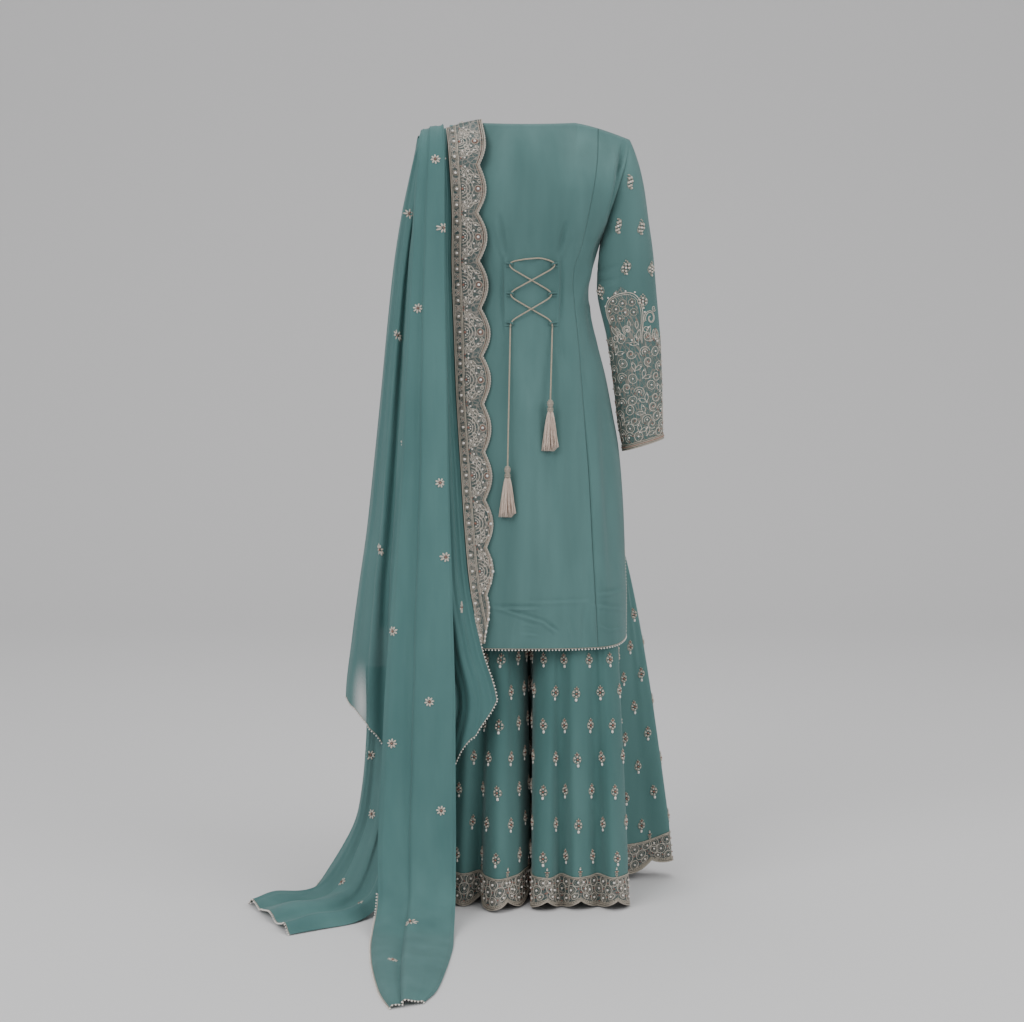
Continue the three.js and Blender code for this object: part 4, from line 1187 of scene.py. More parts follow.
def sheer_patch(tree, shader, alpha, patch):
    """Thins the cloth softly round one place: patch is its x, z and radius in metres, and its alpha."""
    x, z, radius, thin = patch
    place = node(tree, "TexCoord")
    spread = {"Location": (x, 0.0, z), "Scale": (0.26 * radius, 10.0, radius)}
    mapping = node(tree, "Mapping", spread, vector_type="TEXTURE")
    ball = node(tree, "TexGradient", gradient_type="SPHERICAL")
    ramp = node(tree, "MapRange", {"To Min": alpha, "To Max": thin}, interpolation_type="SMOOTHSTEP")
    link(
        tree,
        (place.outputs["Object"], mapping.inputs["Vector"]),
        (mapping.outputs["Vector"], ball.inputs["Vector"]),
        (ball.outputs["Fac"], ramp.inputs["Value"]),
        (ramp.outputs["Result"], shader.inputs["Alpha"]),
    )


def cloth_material(name, dark, light, alpha=1.0, sheen=0.16, roughness=0.72, patch=None):
    values = {
        "Roughness": roughness,
        "Sheen Weight": sheen,
        "Sheen Roughness": 0.45,
        "Specular IOR Level": 0.25,
        "Alpha": alpha,
    }
    material, tree, shader = base_material(name, values)
    colour_variation(tree, shader, dark, light, 16.0, 3.0, 0.14)
    woven_bump(tree, shader)
    if patch:
        sheer_patch(tree, shader, alpha, patch)
    return material


KAMEEZ_CLOTH = cloth_material("kameez crepe", (0.0655, 0.148, 0.143), (0.097, 0.202, 0.196))
GHARARA_CLOTH = cloth_material("gharara crepe", (0.055, 0.141, 0.135), (0.083, 0.187, 0.179))
CHIFFON_TONES = ((0.058, 0.15, 0.147), (0.084, 0.196, 0.19))
SHEER_PATCH = (-0.307, -1.066, 0.088, 0.4)
SHEER_CLOTH = cloth_material("dupatta chiffon", *CHIFFON_TONES, 0.98, 0.14, 0.66, SHEER_PATCH)
FOLDED_CLOTH = cloth_material("folded chiffon", *CHIFFON_TONES, 0.98, 0.12, 0.68)


def zari_ground(name, ground, dark, light, cell, line):
    """A net of metal thread over a darker ground: thread lines between cells, and finer ones inside them."""
    material, tree, shader = base_material(name, {"Roughness": 0.55, "Specular IOR Level": 0.4})
    place = node(tree, "TexCoord")
    wobble = node(tree, "TexNoise", {"Scale": 90.0, "Detail": 2.0})
    bend = node(tree, "VectorMath", {1: (0.006, 0.006, 0.0)}, operation="MULTIPLY_ADD")
    finer = node(tree, "Math", {1: 0.4}, operation="MULTIPLY")
    joined = node(tree, "Math", operation="MAXIMUM")
    for target, scale, reach in ((joined, 1.0 / cell, line / cell), (finer, 2.3 / cell, 1.5 * line / cell)):
        net = node(tree, "TexVoronoi", {"Scale": scale, "Randomness": 0.85}, feature="DISTANCE_TO_EDGE")
        edges = {"From Min": reach * 0.35, "From Max": reach, "To Min": 1.0, "To Max": 0.0}
        ramp = node(tree, "MapRange", edges, interpolation_type="SMOOTHSTEP")
        link(
            tree,
            (bend.outputs[0], net.inputs["Vector"]),
            (net.outputs["Distance"], ramp.inputs["Value"]),
            (ramp.outputs["Result"], target.inputs[0]),
        )
    tone = node(tree, "TexNoise", {"Scale": 160.0, "Detail": 3.0})
    thread = node(tree, "Mix", {}, data_type="RGBA")
    shade = node(tree, "Mix", {}, data_type="RGBA")
    for mix, side, colour in ((thread, "A", dark), (thread, "B", light), (shade, "A", ground)):
        mix.inputs[side].default_value = (*colour, 1.0)
    bump = node(tree, "Bump", {"Strength": 0.8, "Distance": 0.0012})
    link(
        tree,
        (place.outputs["UV"], wobble.inputs["Vector"]),
        (wobble.outputs["Color"], bend.inputs[0]),
        (place.outputs["UV"], bend.inputs[2]),
        (finer.outputs[0], joined.inputs[1]),
        (place.outputs["UV"], tone.inputs["Vector"]),
        (tone.outputs["Fac"], thread.inputs["Factor"]),
        (joined.outputs[0], shade.inputs["Factor"]),
        (thread.outputs["Result"], shade.inputs["B"]),
        (shade.outputs["Result"], shader.inputs["Base Color"]),
        (joined.outputs[0], bump.inputs["Height"]),
        (bump.outputs["Normal"], shader.inputs["Normal"]),
    )
    return material


BAND_CLOTH = zari_ground(
    "zari net", (0.033, 0.072, 0.071), (0.12, 0.12, 0.108), (0.34, 0.31, 0.27), 0.0095, 0.001
)
CUFF_CLOTH = zari_ground(
    "cuff net", (0.055, 0.126, 0.122), (0.13, 0.13, 0.115), (0.33, 0.3, 0.255), 0.012, 0.0009
)


def thread_material(name, dark, light, metallic=0.0, roughness=0.5, scale=900.0):
    """Twisted thread: a fine slanted ripple, with dark and light strands."""
    material, tree, shader = base_material(name, {"Roughness": roughness, "Metallic": metallic})
    colour_variation(tree, shader, dark, light, scale, 2.0)
    place = node(tree, "TexCoord")
    twist = node(tree, "TexWave", {"Scale": scale, "Distortion": 1.5}, bands_direction="DIAGONAL")
    bump = node(tree, "Bump", {"Strength": 0.5, "Distance": 0.0005})
    link(
        tree,
        (place.outputs["Object"], twist.inputs["Vector"]),
        (twist.outputs["Fac"], bump.inputs["Height"]),
        (bump.outputs["Normal"], shader.inputs["Normal"]),
    )
    return material


CORD_THREAD = thread_material("lace cord", (0.3, 0.25, 0.18), (0.52, 0.46, 0.36))
STITCH_MATERIALS = {
    "zari": thread_material("zari thread", (0.3, 0.265, 0.215), (0.6, 0.54, 0.455), 0.15, 0.42),
    "silver": thread_material("silver thread", (0.5, 0.45, 0.385), (0.8, 0.73, 0.64), 0.1, 0.36),
    "pearl": thread_material("pearl bead", (0.72, 0.66, 0.6), (0.92, 0.88, 0.82), 0.0, 0.16, 300.0),
    "rose": thread_material("rose bead", (0.22, 0.09, 0.065), (0.42, 0.2, 0.15), 0.15, 0.3, 300.0),
    "floss": thread_material("tassel floss", (0.64, 0.49, 0.4), (0.93, 0.79, 0.68), 0.0, 0.45, 700.0),
    "stone": thread_material("pale stone", (0.62, 0.64, 0.62), (0.95, 0.95, 0.92), 0.3, 0.1, 200.0),
}


def dress(piece, slot, *nodes):
    """A piece rides on the one body and stands for its solids, which are hidden; its slot is not used."""
    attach(piece, "root")
    if nodes:
        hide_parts(*nodes)
    return piece


# Embroidery.
def unit(vectors):
    return vectors / np.maximum(np.linalg.norm(vectors, axis=-1, keepdims=True), 1e-9)


def bead_shape():
    """A small round bead: the 20 faces of an icosahedron."""
    long = (1.0 + math.sqrt(5.0)) / 2.0
    corners = [p for s in (-1.0, 1.0) for t in (-long, long) for p in ((0.0, s, t), (s, t, 0.0), (t, 0.0, s))]
    points = unit(np.array(corners))
    faces = []
    for face in itertools.combinations(range(len(points)), 3):
        first, second, third = points[list(face)]
        sides = (first - second, second - third, third - first)
        if max(np.linalg.norm(side) for side in sides) < 1.1:
            outward = np.dot(np.cross(second - first, third - first), first) > 0.0
            faces.append(face if outward else face[::-1])
    return points, np.array(faces)


BEAD_POINTS, BEAD_FACES = bead_shape()


class Spots:
    """Places on a sheet where a motif is sewn. A motif has x to the right and y down, in millimetres."""

    def __init__(self, sheet, u, v, turn=0.0, size=1.0):
        given = [np.atleast_1d(np.asarray(value, float)) for value in (u, v, turn, size)]
        self.u, self.v, self.turn, self.size = np.broadcast_arrays(*given)
        self.sheet = sheet
        self.scale = sheet.look(sheet.scale, self.u, self.v)

    def place(self, shape, lift):
        x, y = np.moveaxis(np.asarray(shape, float), -1, 0)[:, None]
        turn = np.radians(self.turn)[:, None]
        size = self.size[:, None]
        u = self.u[:, None] + size * (x * np.cos(turn) - y * np.sin(turn)) / self.scale[:, :1]
        v = self.v[:, None] + size * (x * np.sin(turn) + y * np.cos(turn)) / self.scale[:, 1:]
        return self.sheet.at(u, v, lift), self.sheet.look(self.sheet.normals, u, v)


class Stitching:
    """Threads, beads and petals, gathered into one mesh for each material."""

    def __init__(self, name):
        self.name = name
        self.parts = {}

    def add(self, kind, points, faces):
        """Copies of one shape: points is an array of copies, corners and axes."""
        self.parts.setdefault(kind, []).append((points, faces))

    def tubes(self, kind, paths, up, radius, closed=False, sides=4):
        ahead = np.roll(paths, -1, axis=1) - np.roll(paths, 1, axis=1)
        if not closed:
            ahead[:, 0] = paths[:, 1] - paths[:, 0]
            ahead[:, -1] = paths[:, -1] - paths[:, -2]
        across = unit(np.cross(ahead, up))[:, :, None]
        out = unit(np.cross(across[:, :, 0], ahead))[:, :, None]
        turn = 2.0 * np.pi * (np.arange(sides)[:, None] + 0.5) / sides
        rings = paths[:, :, None] + radius * (across * np.cos(turn) + out * np.sin(turn))
        count = paths.shape[1]
        steps = count if closed else count - 1
        j, i = (grid.ravel() for grid in np.meshgrid(np.arange(steps), np.arange(sides), indexing="ij"))
        after = (j + 1) % count * sides
        beside = (i + 1) % sides
        corner = j * sides
        faces = [
            np.stack([corner + i, after + beside, corner + beside], axis=1),
            np.stack([corner + i, after + i, after + beside], axis=1),
        ]
        if not closed:
            fan = np.array([(0, k, k + 1) for k in range(1, sides - 1)])
            faces += [fan, fan[:, ::-1] + (count - 1) * sides]
        self.add(kind, rings.reshape(len(paths), -1, 3), np.concatenate(faces))

    def thread(self, kind, spots, shape, radius=0.7, closed=False):
        paths, normals = spots.place(shape, 0.6 * radius)
        self.tubes(kind, paths, normals, radius, closed, sides=4 if radius > 0.5 else 3)

    def line(self, sheet, u, v, radius, closed=False, lift=0.8):
        """One gold thread along a line of places on a sheet."""
        u, v = np.broadcast_arrays(u, v)
        paths = sheet.at(u, v, lift * radius)[None]
        self.tubes("zari", paths, sheet.look(sheet.normals, u, v)[None], radius, closed)

    def balls(self, kind, centres, radius):
        centres = np.asarray(centres, float).reshape(-1, 1, 3)
        self.add(kind, centres + radius * BEAD_POINTS, BEAD_FACES)

    def beads(self, kind, spots, shape, radius):
        self.balls(kind, spots.place(np.reshape(shape, (-1, 2)), 0.6 * radius)[0], radius)

    def petals(self, kind, spots, ends, width, height=0.9):
        """Long beads or satin petals: ends holds the two ends of each, one after the other."""
        points, normals = spots.place(np.reshape(ends, (-1, 2)), 0.5 * height)
        start, end = points[:, 0::2], points[:, 1::2]
        out = unit(normals[:, 0::2] + normals[:, 1::2])
        half = 0.58 * (end - start)
        side = unit(np.cross(out, half)) * width * 0.58
        middle = (start + end) / 2.0
        x, y, z = BEAD_POINTS.T[:, :, None]
        shapes = (
            middle[:, :, None]
            + side[:, :, None] * x
            + height * out[:, :, None] * y
            + half[:, :, None] * z
        )
        self.add(kind, shapes.reshape(-1, len(BEAD_POINTS), 3), BEAD_FACES)

    def finish(self):
        """Makes the pieces and returns them."""
        made = []
        for kind, shapes in self.parts.items():
            points = []
            faces = []
            start = 0
            for corners, shape_faces in shapes:
                copies, count = corners.shape[:2]
                first = start + count * np.arange(copies)[:, None, None]
                points.append(corners.reshape(-1, 3))
                faces.append((shape_faces[None] + first).reshape(-1, 3))
                start += copies * count
            material = STITCH_MATERIALS[kind]
            piece = mesh_piece(f"{self.name}_{kind}", np.concatenate(points), np.concatenate(faces), material)
            made.append(dress(piece, "embroidered_band"))
        return made


def round_shape(x, y, radius, tall=1.0, count=12, start=0.0, end=360.0):
    """A ring, or an arc between two angles in degrees."""
    turn = np.radians(np.linspace(start, end, count, endpoint=end - start < 360.0))
    return np.stack([x + radius * np.cos(turn), y + tall * radius * np.sin(turn)], axis=1)


def leaf_shape(x, y, length, width, angle, count=12):
    """A leaf's outline from its foot at x and y, pointed at both ends."""
    t = np.linspace(0.0, 1.0, count // 2, endpoint=False)
    along = np.concatenate([t, 1.0 - t]) * length
    aside = np.concatenate([np.sin(np.pi * t), -np.sin(np.pi * t)]) * width / 2.0
    turn = math.radians(angle)
    across = x + along * math.cos(turn) - aside * math.sin(turn)
    return np.stack([across, y + along * math.sin(turn) + aside * math.cos(turn)], axis=1)


def curl_shape(x, y, radius, angle, hand=1.0, turns=1.3, count=18):
    """A scroll that winds in to its middle at x and y."""
    t = np.linspace(0.0, 1.0, count)
    turn = math.radians(angle) + hand * 2.0 * np.pi * turns * t
    reach = radius * (1.0 - 0.8 * t)
    return np.stack([x + reach * np.cos(turn), y + reach * np.sin(turn)], axis=1)


def rows_of(rows):
    """A table's rows, one tuple for each."""
    return zip(*rows.values())


def places_of(rows, hand=1.0):
    return np.stack([hand * rows["x"], rows["y"]], axis=1)


EDGE_CORD = 0.6
EDGE_CORD_STEP = 3.0
EDGE_PEARL = 1.7
EDGE_PEARL_STEP = 6.0


def sew_edge(stitching, sheet, path, inward):
    """A corded edge with a bead at each step along it, just outside the cloth."""
    u, v = np.asarray(path, float).T
    fine = np.linspace(0.0, 1.0, 500)
    steps = np.linspace(0.0, 1.0, len(u))
    u, v = np.interp(fine, steps, u), np.interp(fine, steps, v)
    edge = sheet.at(u, v)
    out = unit(edge - sheet.at(u + inward[0], v + inward[1]))
    lengths = np.concatenate([[0.0], np.cumsum(np.linalg.norm(np.diff(edge, axis=0), axis=1))])
    normals = sheet.look(sheet.normals, u, v)

    def along(values, gap):
        stops = np.linspace(0.0, lengths[-1], max(int(lengths[-1] / gap), 2) + 1)
        return np.stack([np.interp(stops, lengths, values[:, axis]) for axis in range(3)], axis=1)

    paths = along(edge, EDGE_CORD_STEP)[None]
    stitching.tubes("zari", paths, along(normals, EDGE_CORD_STEP)[None], EDGE_CORD)
    pearls = edge + out * (EDGE_CORD + 1.1 * EDGE_PEARL)
    stitching.balls("pearl", along(pearls, EDGE_PEARL_STEP), EDGE_PEARL)


def sew_end(stitching, sheet):
    """The edge across the foot of a piece."""
    sew_edge(stitching, sheet, ((0, 1), (1, 1)), (0, -0.01))


def sew_side(stitching, sheet, side, start):
    """The edge down one side, 0 or 1, from a share of its length to the foot."""
    sew_edge(stitching, sheet, ((side, start), (side, 1)), (0.02 - 0.04 * side, 0))


def sew_sprigs(stitching, spots):
    """A wide flower of beads round a pearl, with a small bud above and a small leaf below."""
    stitching.thread("zari", spots, round_shape(0, 0, 10.4, 0.82, 12), 0.55, closed=True)
    stitching.beads("silver", spots, round_shape(0, 0, 7.2, 0.82, 6, 30.0, 390.0), 2.6)
    stitching.beads("rose", spots, round_shape(0, 0, 4.4, 0.82, 3, 0.0, 360.0), 1.2)
    stitching.beads("pearl", spots, (0, 0), 2.5)
    stitching.beads("zari", spots, ((-3.2, -10.2), (3.2, -10.2), (0, -13.2), (-2.4, 10.6)), 1.6)
    stitching.petals("silver", spots, ((1.2, 9.4), (2.0, 14.0)), 4.2, 1.4)


def sew_butis(stitching, spots):
    """A small flower of beads round a rose centre, with a bead tip above and a pearl drop below."""
    stitching.thread("zari", spots, round_shape(0, 0, 7.2, 1.05, 10), 0.55, closed=True)
    stitching.beads("silver", spots, round_shape(0, 0, 5.0, 1.1, 6, 30.0, 390.0), 2.1)
    stitching.beads("rose", spots, (0, 0), 2.4)
    stitching.beads("rose", spots, (0, -9.0), 1.7)
    stitching.beads("zari", spots, ((-3.0, -9.4), (3.0, -9.4), (0, -12.2)), 1.5)
    stitching.petals("pearl", spots, ((0, 8.4), (0, 14.6)), 5.0, 1.5)


def sew_flowers(stitching, spots):
    """A round flower of eight satin petals, with beads between them and a rose bead at its centre."""
    inner = round_shape(0, 0, 2.4, 1.0, 8, 22.5, 382.5)
    outer = round_shape(0, 0, 9.2, 1.0, 8, 22.5, 382.5)
    stitching.petals("silver", spots, np.stack([inner, outer], axis=1), 3.3)
    stitching.thread("rose", spots, round_shape(0, 0, 3.4, 1.0, 8), 0.55, closed=True)
    stitching.beads("rose", spots, (0, 0), 1.9)


def sew_finials(stitching, spots):
    """A stem of beads with a three-bead head, above each notch of a band."""
    stitching.beads("zari", spots, ((0, -3.0), (0, -6.2), (-3.0, -9.5), (3.0, -9.5), (0, -16.5)), 1.5)
    stitching.beads("rose", spots, (0, -9.5), 1.7)
    stitching.petals("pearl", spots, ((0, -12.4), (0, -15.6)), 3.4, 1.3)
    stitching.thread("zari", spots, leaf_shape(0, 0, 9, 5, -90, 10), 0.6, closed=True)


FAN_RADII = (10.0, 15.5, 21.5)
BORDER_LEAVES = table(
    "x y length width angle",
    (26, -40, 18, 7, 70),
    (34, -36, 17, 7, 40),
    (44, -26, 14, 6, 20),
    (30, 8, 16, 7, 55),
)
BORDER_CURLS = table(
    "x y radius angle hand",
    (38, -22, 6, 100, 1),
    (27, -30, 5, 200, -1),
    (55, -14, 4.5, 90, 1),
)
BORDER_PEARLS = table("x y", (27, 24), (37, 32), (43, 12), (49, 22), (33, 40))


def sew_border(stitching, sheet):
    """The dupatta's border: a pearled guard along the inner edge, and a fan in each scallop."""
    fine = np.linspace(0.0, 1.0, 401)
    wide = sheet.look(sheet.scale, np.full(fine.shape, 0.5), fine)[:, 0]
    for inset, radius in ((1.4, 1.3), (4.0, 0.8), (15.0, 0.8), (17.4, 1.2)):
        stitching.line(sheet, inset / wide, fine, radius)
    for share, radius in ((0.985, 1.5), (0.94, 1.1), (0.88, 0.8)):
        stitching.line(sheet, share, fine, radius)
    beads = np.linspace(0.004, 0.996, 200)
    stitching.balls("pearl", sheet.at(np.full(beads.shape, 1.0), beads, 0.6), 1.3)
    stitching.balls("rose", sheet.at(np.full(beads.shape, 0.91), beads + 0.002, 1.0), 1.0)
    pearls = 3 * BORDER_SCALLOPS
    guard = Spots(sheet, 9.6 / wide.mean(), (np.arange(pearls) + 0.5) / pearls)
    stitching.beads("pearl", guard, (0, 0), 3.1)
    stitching.thread("zari", guard, round_shape(0, 0, 4.3, 1.1, 10), 0.6, closed=True)
    between = Spots(sheet, 9.6 / wide.mean(), (np.arange(pearls - 1) + 1.0) / pearls)
    for angle in (45, 135, 225, 315):
        stitching.thread("silver", between, leaf_shape(0, 0, 8.5, 3.4, angle, 8), 0.55, closed=True)
    stitching.beads("rose", between, (0, 0), 1.3)
    fans = Spots(sheet, 0.0, (np.arange(BORDER_SCALLOPS) + 0.5) / BORDER_SCALLOPS, 0.0, 1.0)
    for radius in FAN_RADII:
        stitching.thread("silver", fans, round_shape(20, 0, radius, 1.05, 18, -86, 86), 0.7)
    stitching.beads("pearl", fans, round_shape(20, 0, 6.2, 1.0, 4, -66, 66), 1.5)
    stitching.beads("rose", fans, (21.5, 0), 2.4)
    stitching.beads("stone", fans, (50.5, 0), 3.2)
    stitching.thread("rose", fans, round_shape(50.5, 0, 4.7, 1.0, 12), 0.7, closed=True)
    stitching.thread("zari", fans, round_shape(50.5, 0, 6.6, 1.0, 14), 0.8, closed=True)
    for way in (1, -1):
        for x, y, length, width, angle in rows_of(BORDER_LEAVES):
            leaf = leaf_shape(x, way * y, length, width, way * angle)
            vein = leaf_shape(x, way * y, 0.6 * length, 0.2 * width, way * angle, 8)
            stitching.thread("silver", fans, leaf, 0.7, closed=True)
            stitching.thread("zari", fans, vein, 0.35, closed=True)
        for x, y, radius, angle, hand in rows_of(BORDER_CURLS):
            stitching.thread("silver", fans, curl_shape(x, way * y, radius, way * angle, way * hand), 0.7)
        for x, y in rows_of(BORDER_PEARLS):
            stitching.beads("pearl", fans, (x, way * y), 2.1)
        stitching.beads("rose", fans, (25, way * 41), 1.6)


HEM_CELLS = table(
    "x y radius tall",
    (-40, 12.5, 8.2, 1.0),
    (-13.5, 12.5, 8.6, 1.0),
    (13.5, 12.5, 8.6, 1.0),
    (40, 12.5, 8.2, 1.0),
    (-27, 28, 8.4, 1.05),
    (0, 28, 8.8, 1.05),
    (27, 28, 8.4, 1.05),
    (53.5, 27, 7.0, 1.3),
    (-13, 44, 7.2, 1.0),
    (13, 44, 7.2, 1.0),
    (-34, 42, 5.6, 1.0),
    (34, 42, 5.6, 1.0),
)
HEM_BEADS = table(
    "x y",
    (-27, 14),
    (0, 14),
    (27, 14),
    (53.5, 12),
    (-13, 27),
    (13, 27),
    (-40, 27),
    (40, 27),
    (0, 41),
    (-24, 42),
    (24, 42),
    (0, 51),
    (-44, 38),
    (44, 38),
)


def sew_hem_band(stitching, sheet):
    """Each scallop holds loops of double cord, each round a pearl."""
    fine = np.linspace(0.0, 1.0, 480, endpoint=False)
    for down, radius in ((0.02, 1.3), (0.07, 0.8), (0.985, 1.6), (0.93, 1.2), (0.87, 0.8)):
        stitching.line(sheet, fine, down, radius, closed=True)
    spots = Spots(sheet, (np.arange(SCALLOPS_PER_LEG) + 0.5) / SCALLOPS_PER_LEG, 0.0)
    for x, y, radius, tall in rows_of(HEM_CELLS):
        stitching.thread("silver", spots, round_shape(x, y, 1.15 * radius, tall, 14), 0.65, closed=True)
        stitching.thread("zari", spots, round_shape(x, y, 0.72 * radius, tall, 12), 0.35, closed=True)
        stitching.beads("pearl", spots, (x, y), 2.4)
    stitching.beads("rose", spots, places_of(HEM_BEADS), 1.5)
    edge = np.linspace(0.0, 1.0, 300, endpoint=False)
    stitching.balls("zari", sheet.at(edge, np.full(edge.shape, 0.9), 1.2), 1.2)


def sew_jaal(stitching, sheet):
    """A net of mixed scrolls, loops and leaves round the end of a sleeve."""
    columns = np.arange(JAAL_COLUMNS)
    for row in range(JAAL_ROWS):
        v = lerp(CUFF_TOP, JAAL_END, (row + 0.5) / JAAL_ROWS)
        u = (columns + 0.5 * (row % 2) + 0.12 * np.sin(2.3 * row)) / JAAL_COLUMNS
        for kind in range(4):
            chosen = columns % 4 == (kind + 2 * (row % 3)) % 4
            turn = 50.0 * np.sin(1.9 * columns[chosen] + 1.1 * row)
            wave = 0.006 * np.sin(3.0 * u[chosen] * JAAL_COLUMNS)
            spots = Spots(sheet, u[chosen], v + wave, turn, 1.2)
            if kind == 0:
                stitching.thread("silver", spots, round_shape(0, 0, 6.6, 1.15), 0.7, closed=True)
                stitching.thread("zari", spots, round_shape(0, 0, 4.2, 1.1, 10), 0.4, closed=True)
                stitching.beads("pearl", spots, (0, 0), 2.0)
            elif kind == 1:
                for angle in (-125, -55):
                    stitching.thread("silver", spots, leaf_shape(0, 5, 14, 6, angle), 0.65, closed=True)
                stitching.beads("pearl", spots, ((0, 6), (-7, -3), (7, -3)), 1.4)
            elif kind == 2:
                stitching.thread("silver", spots, curl_shape(0, 0, 8.4, 40), 0.8)
                stitching.thread("zari", spots, curl_shape(0, 0, 6.0, 40), 0.4)
                stitching.beads("rose", spots, (0, 0), 1.6)
            else:
                for radius in (4.6, 8.2):
                    stitching.thread("silver", spots, round_shape(0, 3, radius, 1.0, 10, -200, 20), 0.65)
                stitching.beads("pearl", spots, (0, 2.5), 1.9)
                stitching.beads("rose", spots, ((-5.5, 6.5), (5.5, 6.5)), 1.3)


SLEEVE_BUTIS = table(
    "u v",
    (0.842, 0.138),
    (0.725, 0.217),
    (0.867, 0.325),
    (0.75, 0.442),
    (0.917, 0.492),
    (0.575, 0.508),
    (0.825, 0.58),
)
LOBE = table(
    "x y",
    (-46, 8),
    (-50, -10),
    (-47, -30),
    (-35, -47),
    (-16, -54),
    (4, -50),
    (17, -35),
    (22, -12),
    (20, 12),
    (15, 32),
    (13, 50),
)
SLEEVE_LOOPS = table(
    "x y radius",
    (-29, -39, 7.5),
    (-12, -30, 7),
    (5, -29, 6.5),
    (5, -9, 6.5),
    (-41, -18, 6),
    (-26, -20, 7),
    (-10, -11, 7),
    (-38, -2, 5.5),
    (-22, -1, 6),
)
SLEEVE_LEAVES = table(
    "x y length width angle",
    (-46, 12, 24, 8, 60),
    (-34, 14, 22, 8, 75),
    (-22, 40, 20, 8, -120),
    (4, 44, 22, 8, -70),
    (24, 40, 24, 8, -60),
    (30, 48, 22, 8, -40),
    (48, 26, 18, 7, 50),
    (52, 34, 18, 7, 90),
    (40, 44, 18, 7, -80),
    (-6, 4, 16, 6, 100),
    (8, 6, 16, 6, 95),
)
SLEEVE_CURLS = table(
    "x y radius angle hand",
    (38, 6, 16, 160, 1),
    (38, 6, 12.5, 160, 1),
    (-12, 22, 10, 120, 1),
    (-12, 22, 7, 120, 1),
    (-40, 36, 9, 200, -1),
    (50, -10, 6, 30, 1),
    (24, 26, 7, 0, -1),
)
SLEEVE_PEARLS = table(
    "x y",
    (-48, -30),
    (-38, -50),
    (-22, -58),
    (-4, -57),
    (12, -49),
    (-12, 22),
    (-6, 42),
    (30, 22),
    (46, 44),
    (26, -6),
)
JAAL_COLUMNS = 12
JAAL_ROWS = 10
JAAL_END = 0.965
CUFF_TOP = 0.655


def sew_sleeve(stitching, sheet, hand):
    """Butis above, then a lobe and scrolls that close up to a full net at the cuff."""
    run = np.linspace(0.0, 1.0, 40)
    for middle in (0.25, 0.75):
        turned = (SLEEVE_BUTIS["u"] - 0.75) * hand + middle
        sew_sprigs(stitching, Spots(sheet, turned, SLEEVE_BUTIS["v"], 8.0 * np.sin(9.0 * SLEEVE_BUTIS["u"])))
        spots = Spots(sheet, middle, 0.615)
        for inset, radius in ((1.0, 1.0), (0.9, 0.6)):
            x = inset * (row_column(LOBE, "x", run) + 12.0) - 12.0
            y = inset * (row_column(LOBE, "y", run) + 8.0) - 8.0
            stitching.thread("silver", spots, np.stack([hand * x, y], axis=1), radius)
        for x, y, radius in rows_of(SLEEVE_LOOPS):
            stitching.thread("zari", spots, round_shape(hand * x, y, radius, 1.1), 0.6, closed=True)
            stitching.beads("rose", spots, round_shape(hand * x, y, 0.55 * radius, 1.1, 5), 0.9)
            stitching.beads("pearl", spots, (hand * x, y), 2.2)
        for x, y, length, width, angle in rows_of(SLEEVE_LEAVES):
            way = angle if hand > 0 else 180.0 - angle
            stitching.thread("silver", spots, leaf_shape(hand * x, y, length, width, way), 0.7, closed=True)
            stitching.thread("zari", spots, leaf_shape(hand * x, y, 0.7 * length, 0.3 * width, way, 8), 0.4)
        for x, y, radius, angle, way in rows_of(SLEEVE_CURLS):
            start = angle if hand > 0 else 180.0 - angle
            stitching.thread("silver", spots, curl_shape(hand * x, y, radius, start, hand * way), 0.85)
        stitching.beads("pearl", spots, places_of(SLEEVE_PEARLS, hand), 2.0)
        stitching.beads("rose", spots, places_of(SLEEVE_LEAVES, hand), 1.5)
    sew_jaal(stitching, sheet)
    fine = np.linspace(0.0, 1.0, 120, endpoint=False)
    for b, radius in ((0.999, 1.5), (0.992, 1.4), (0.985, 1.3), (0.978, 1.0)):
        stitching.line(sheet, fine, b, radius, closed=True, lift=0.9)
    stitching.balls("rose", sheet.at(fine, np.full(fine.shape, 0.988), 2.0), 1.0)


LOBE_HALF = 0.112
LOBE_RISE = 0.14
LOBE_CENTRES = {1.0: 0.2, -1.0: 0.3}


def cuff_patch(sheet, hand):
    """The embroidered end of a sleeve, just off its cloth. It rises inside each lobe."""

    def surface(a, b):
        from_lobe = ((a - LOBE_CENTRES[hand] + 0.25) % 0.5 - 0.25) / LOBE_HALF
        rise = LOBE_RISE * np.sqrt(np.maximum(0.0, 1.0 - from_lobe**2))
        top = CUFF_TOP - rise + 0.018 * np.abs(np.sin(np.pi * 7.0 * a)) ** 0.7
        return sheet.at(a, lerp(top, 0.999, b), 0.35)

    return surface


# Pieces of cloth.
SLIT_TOP = 0.75
KAMEEZ_PANELS = (
    ("centre_back", centre_back, 88, 230, back_relief, 0.29, ()),
    ("side_back_right", side_back_right, 30, 190, side_relief, 0.12, (1,)),
    ("side_back_left", mirrored(side_back_right), 30, 190, mirrored_side_relief, 0.12, (0,)),
    ("front", front_panel, 60, 84, front_relief, 0.52, (0, 1)),
)
SLEEVES = (
    ("right", right_sleeve, 1.0, sleeve_relief),
    ("left", mirrored(right_sleeve), -1.0, mirrored_sleeve_relief),
)


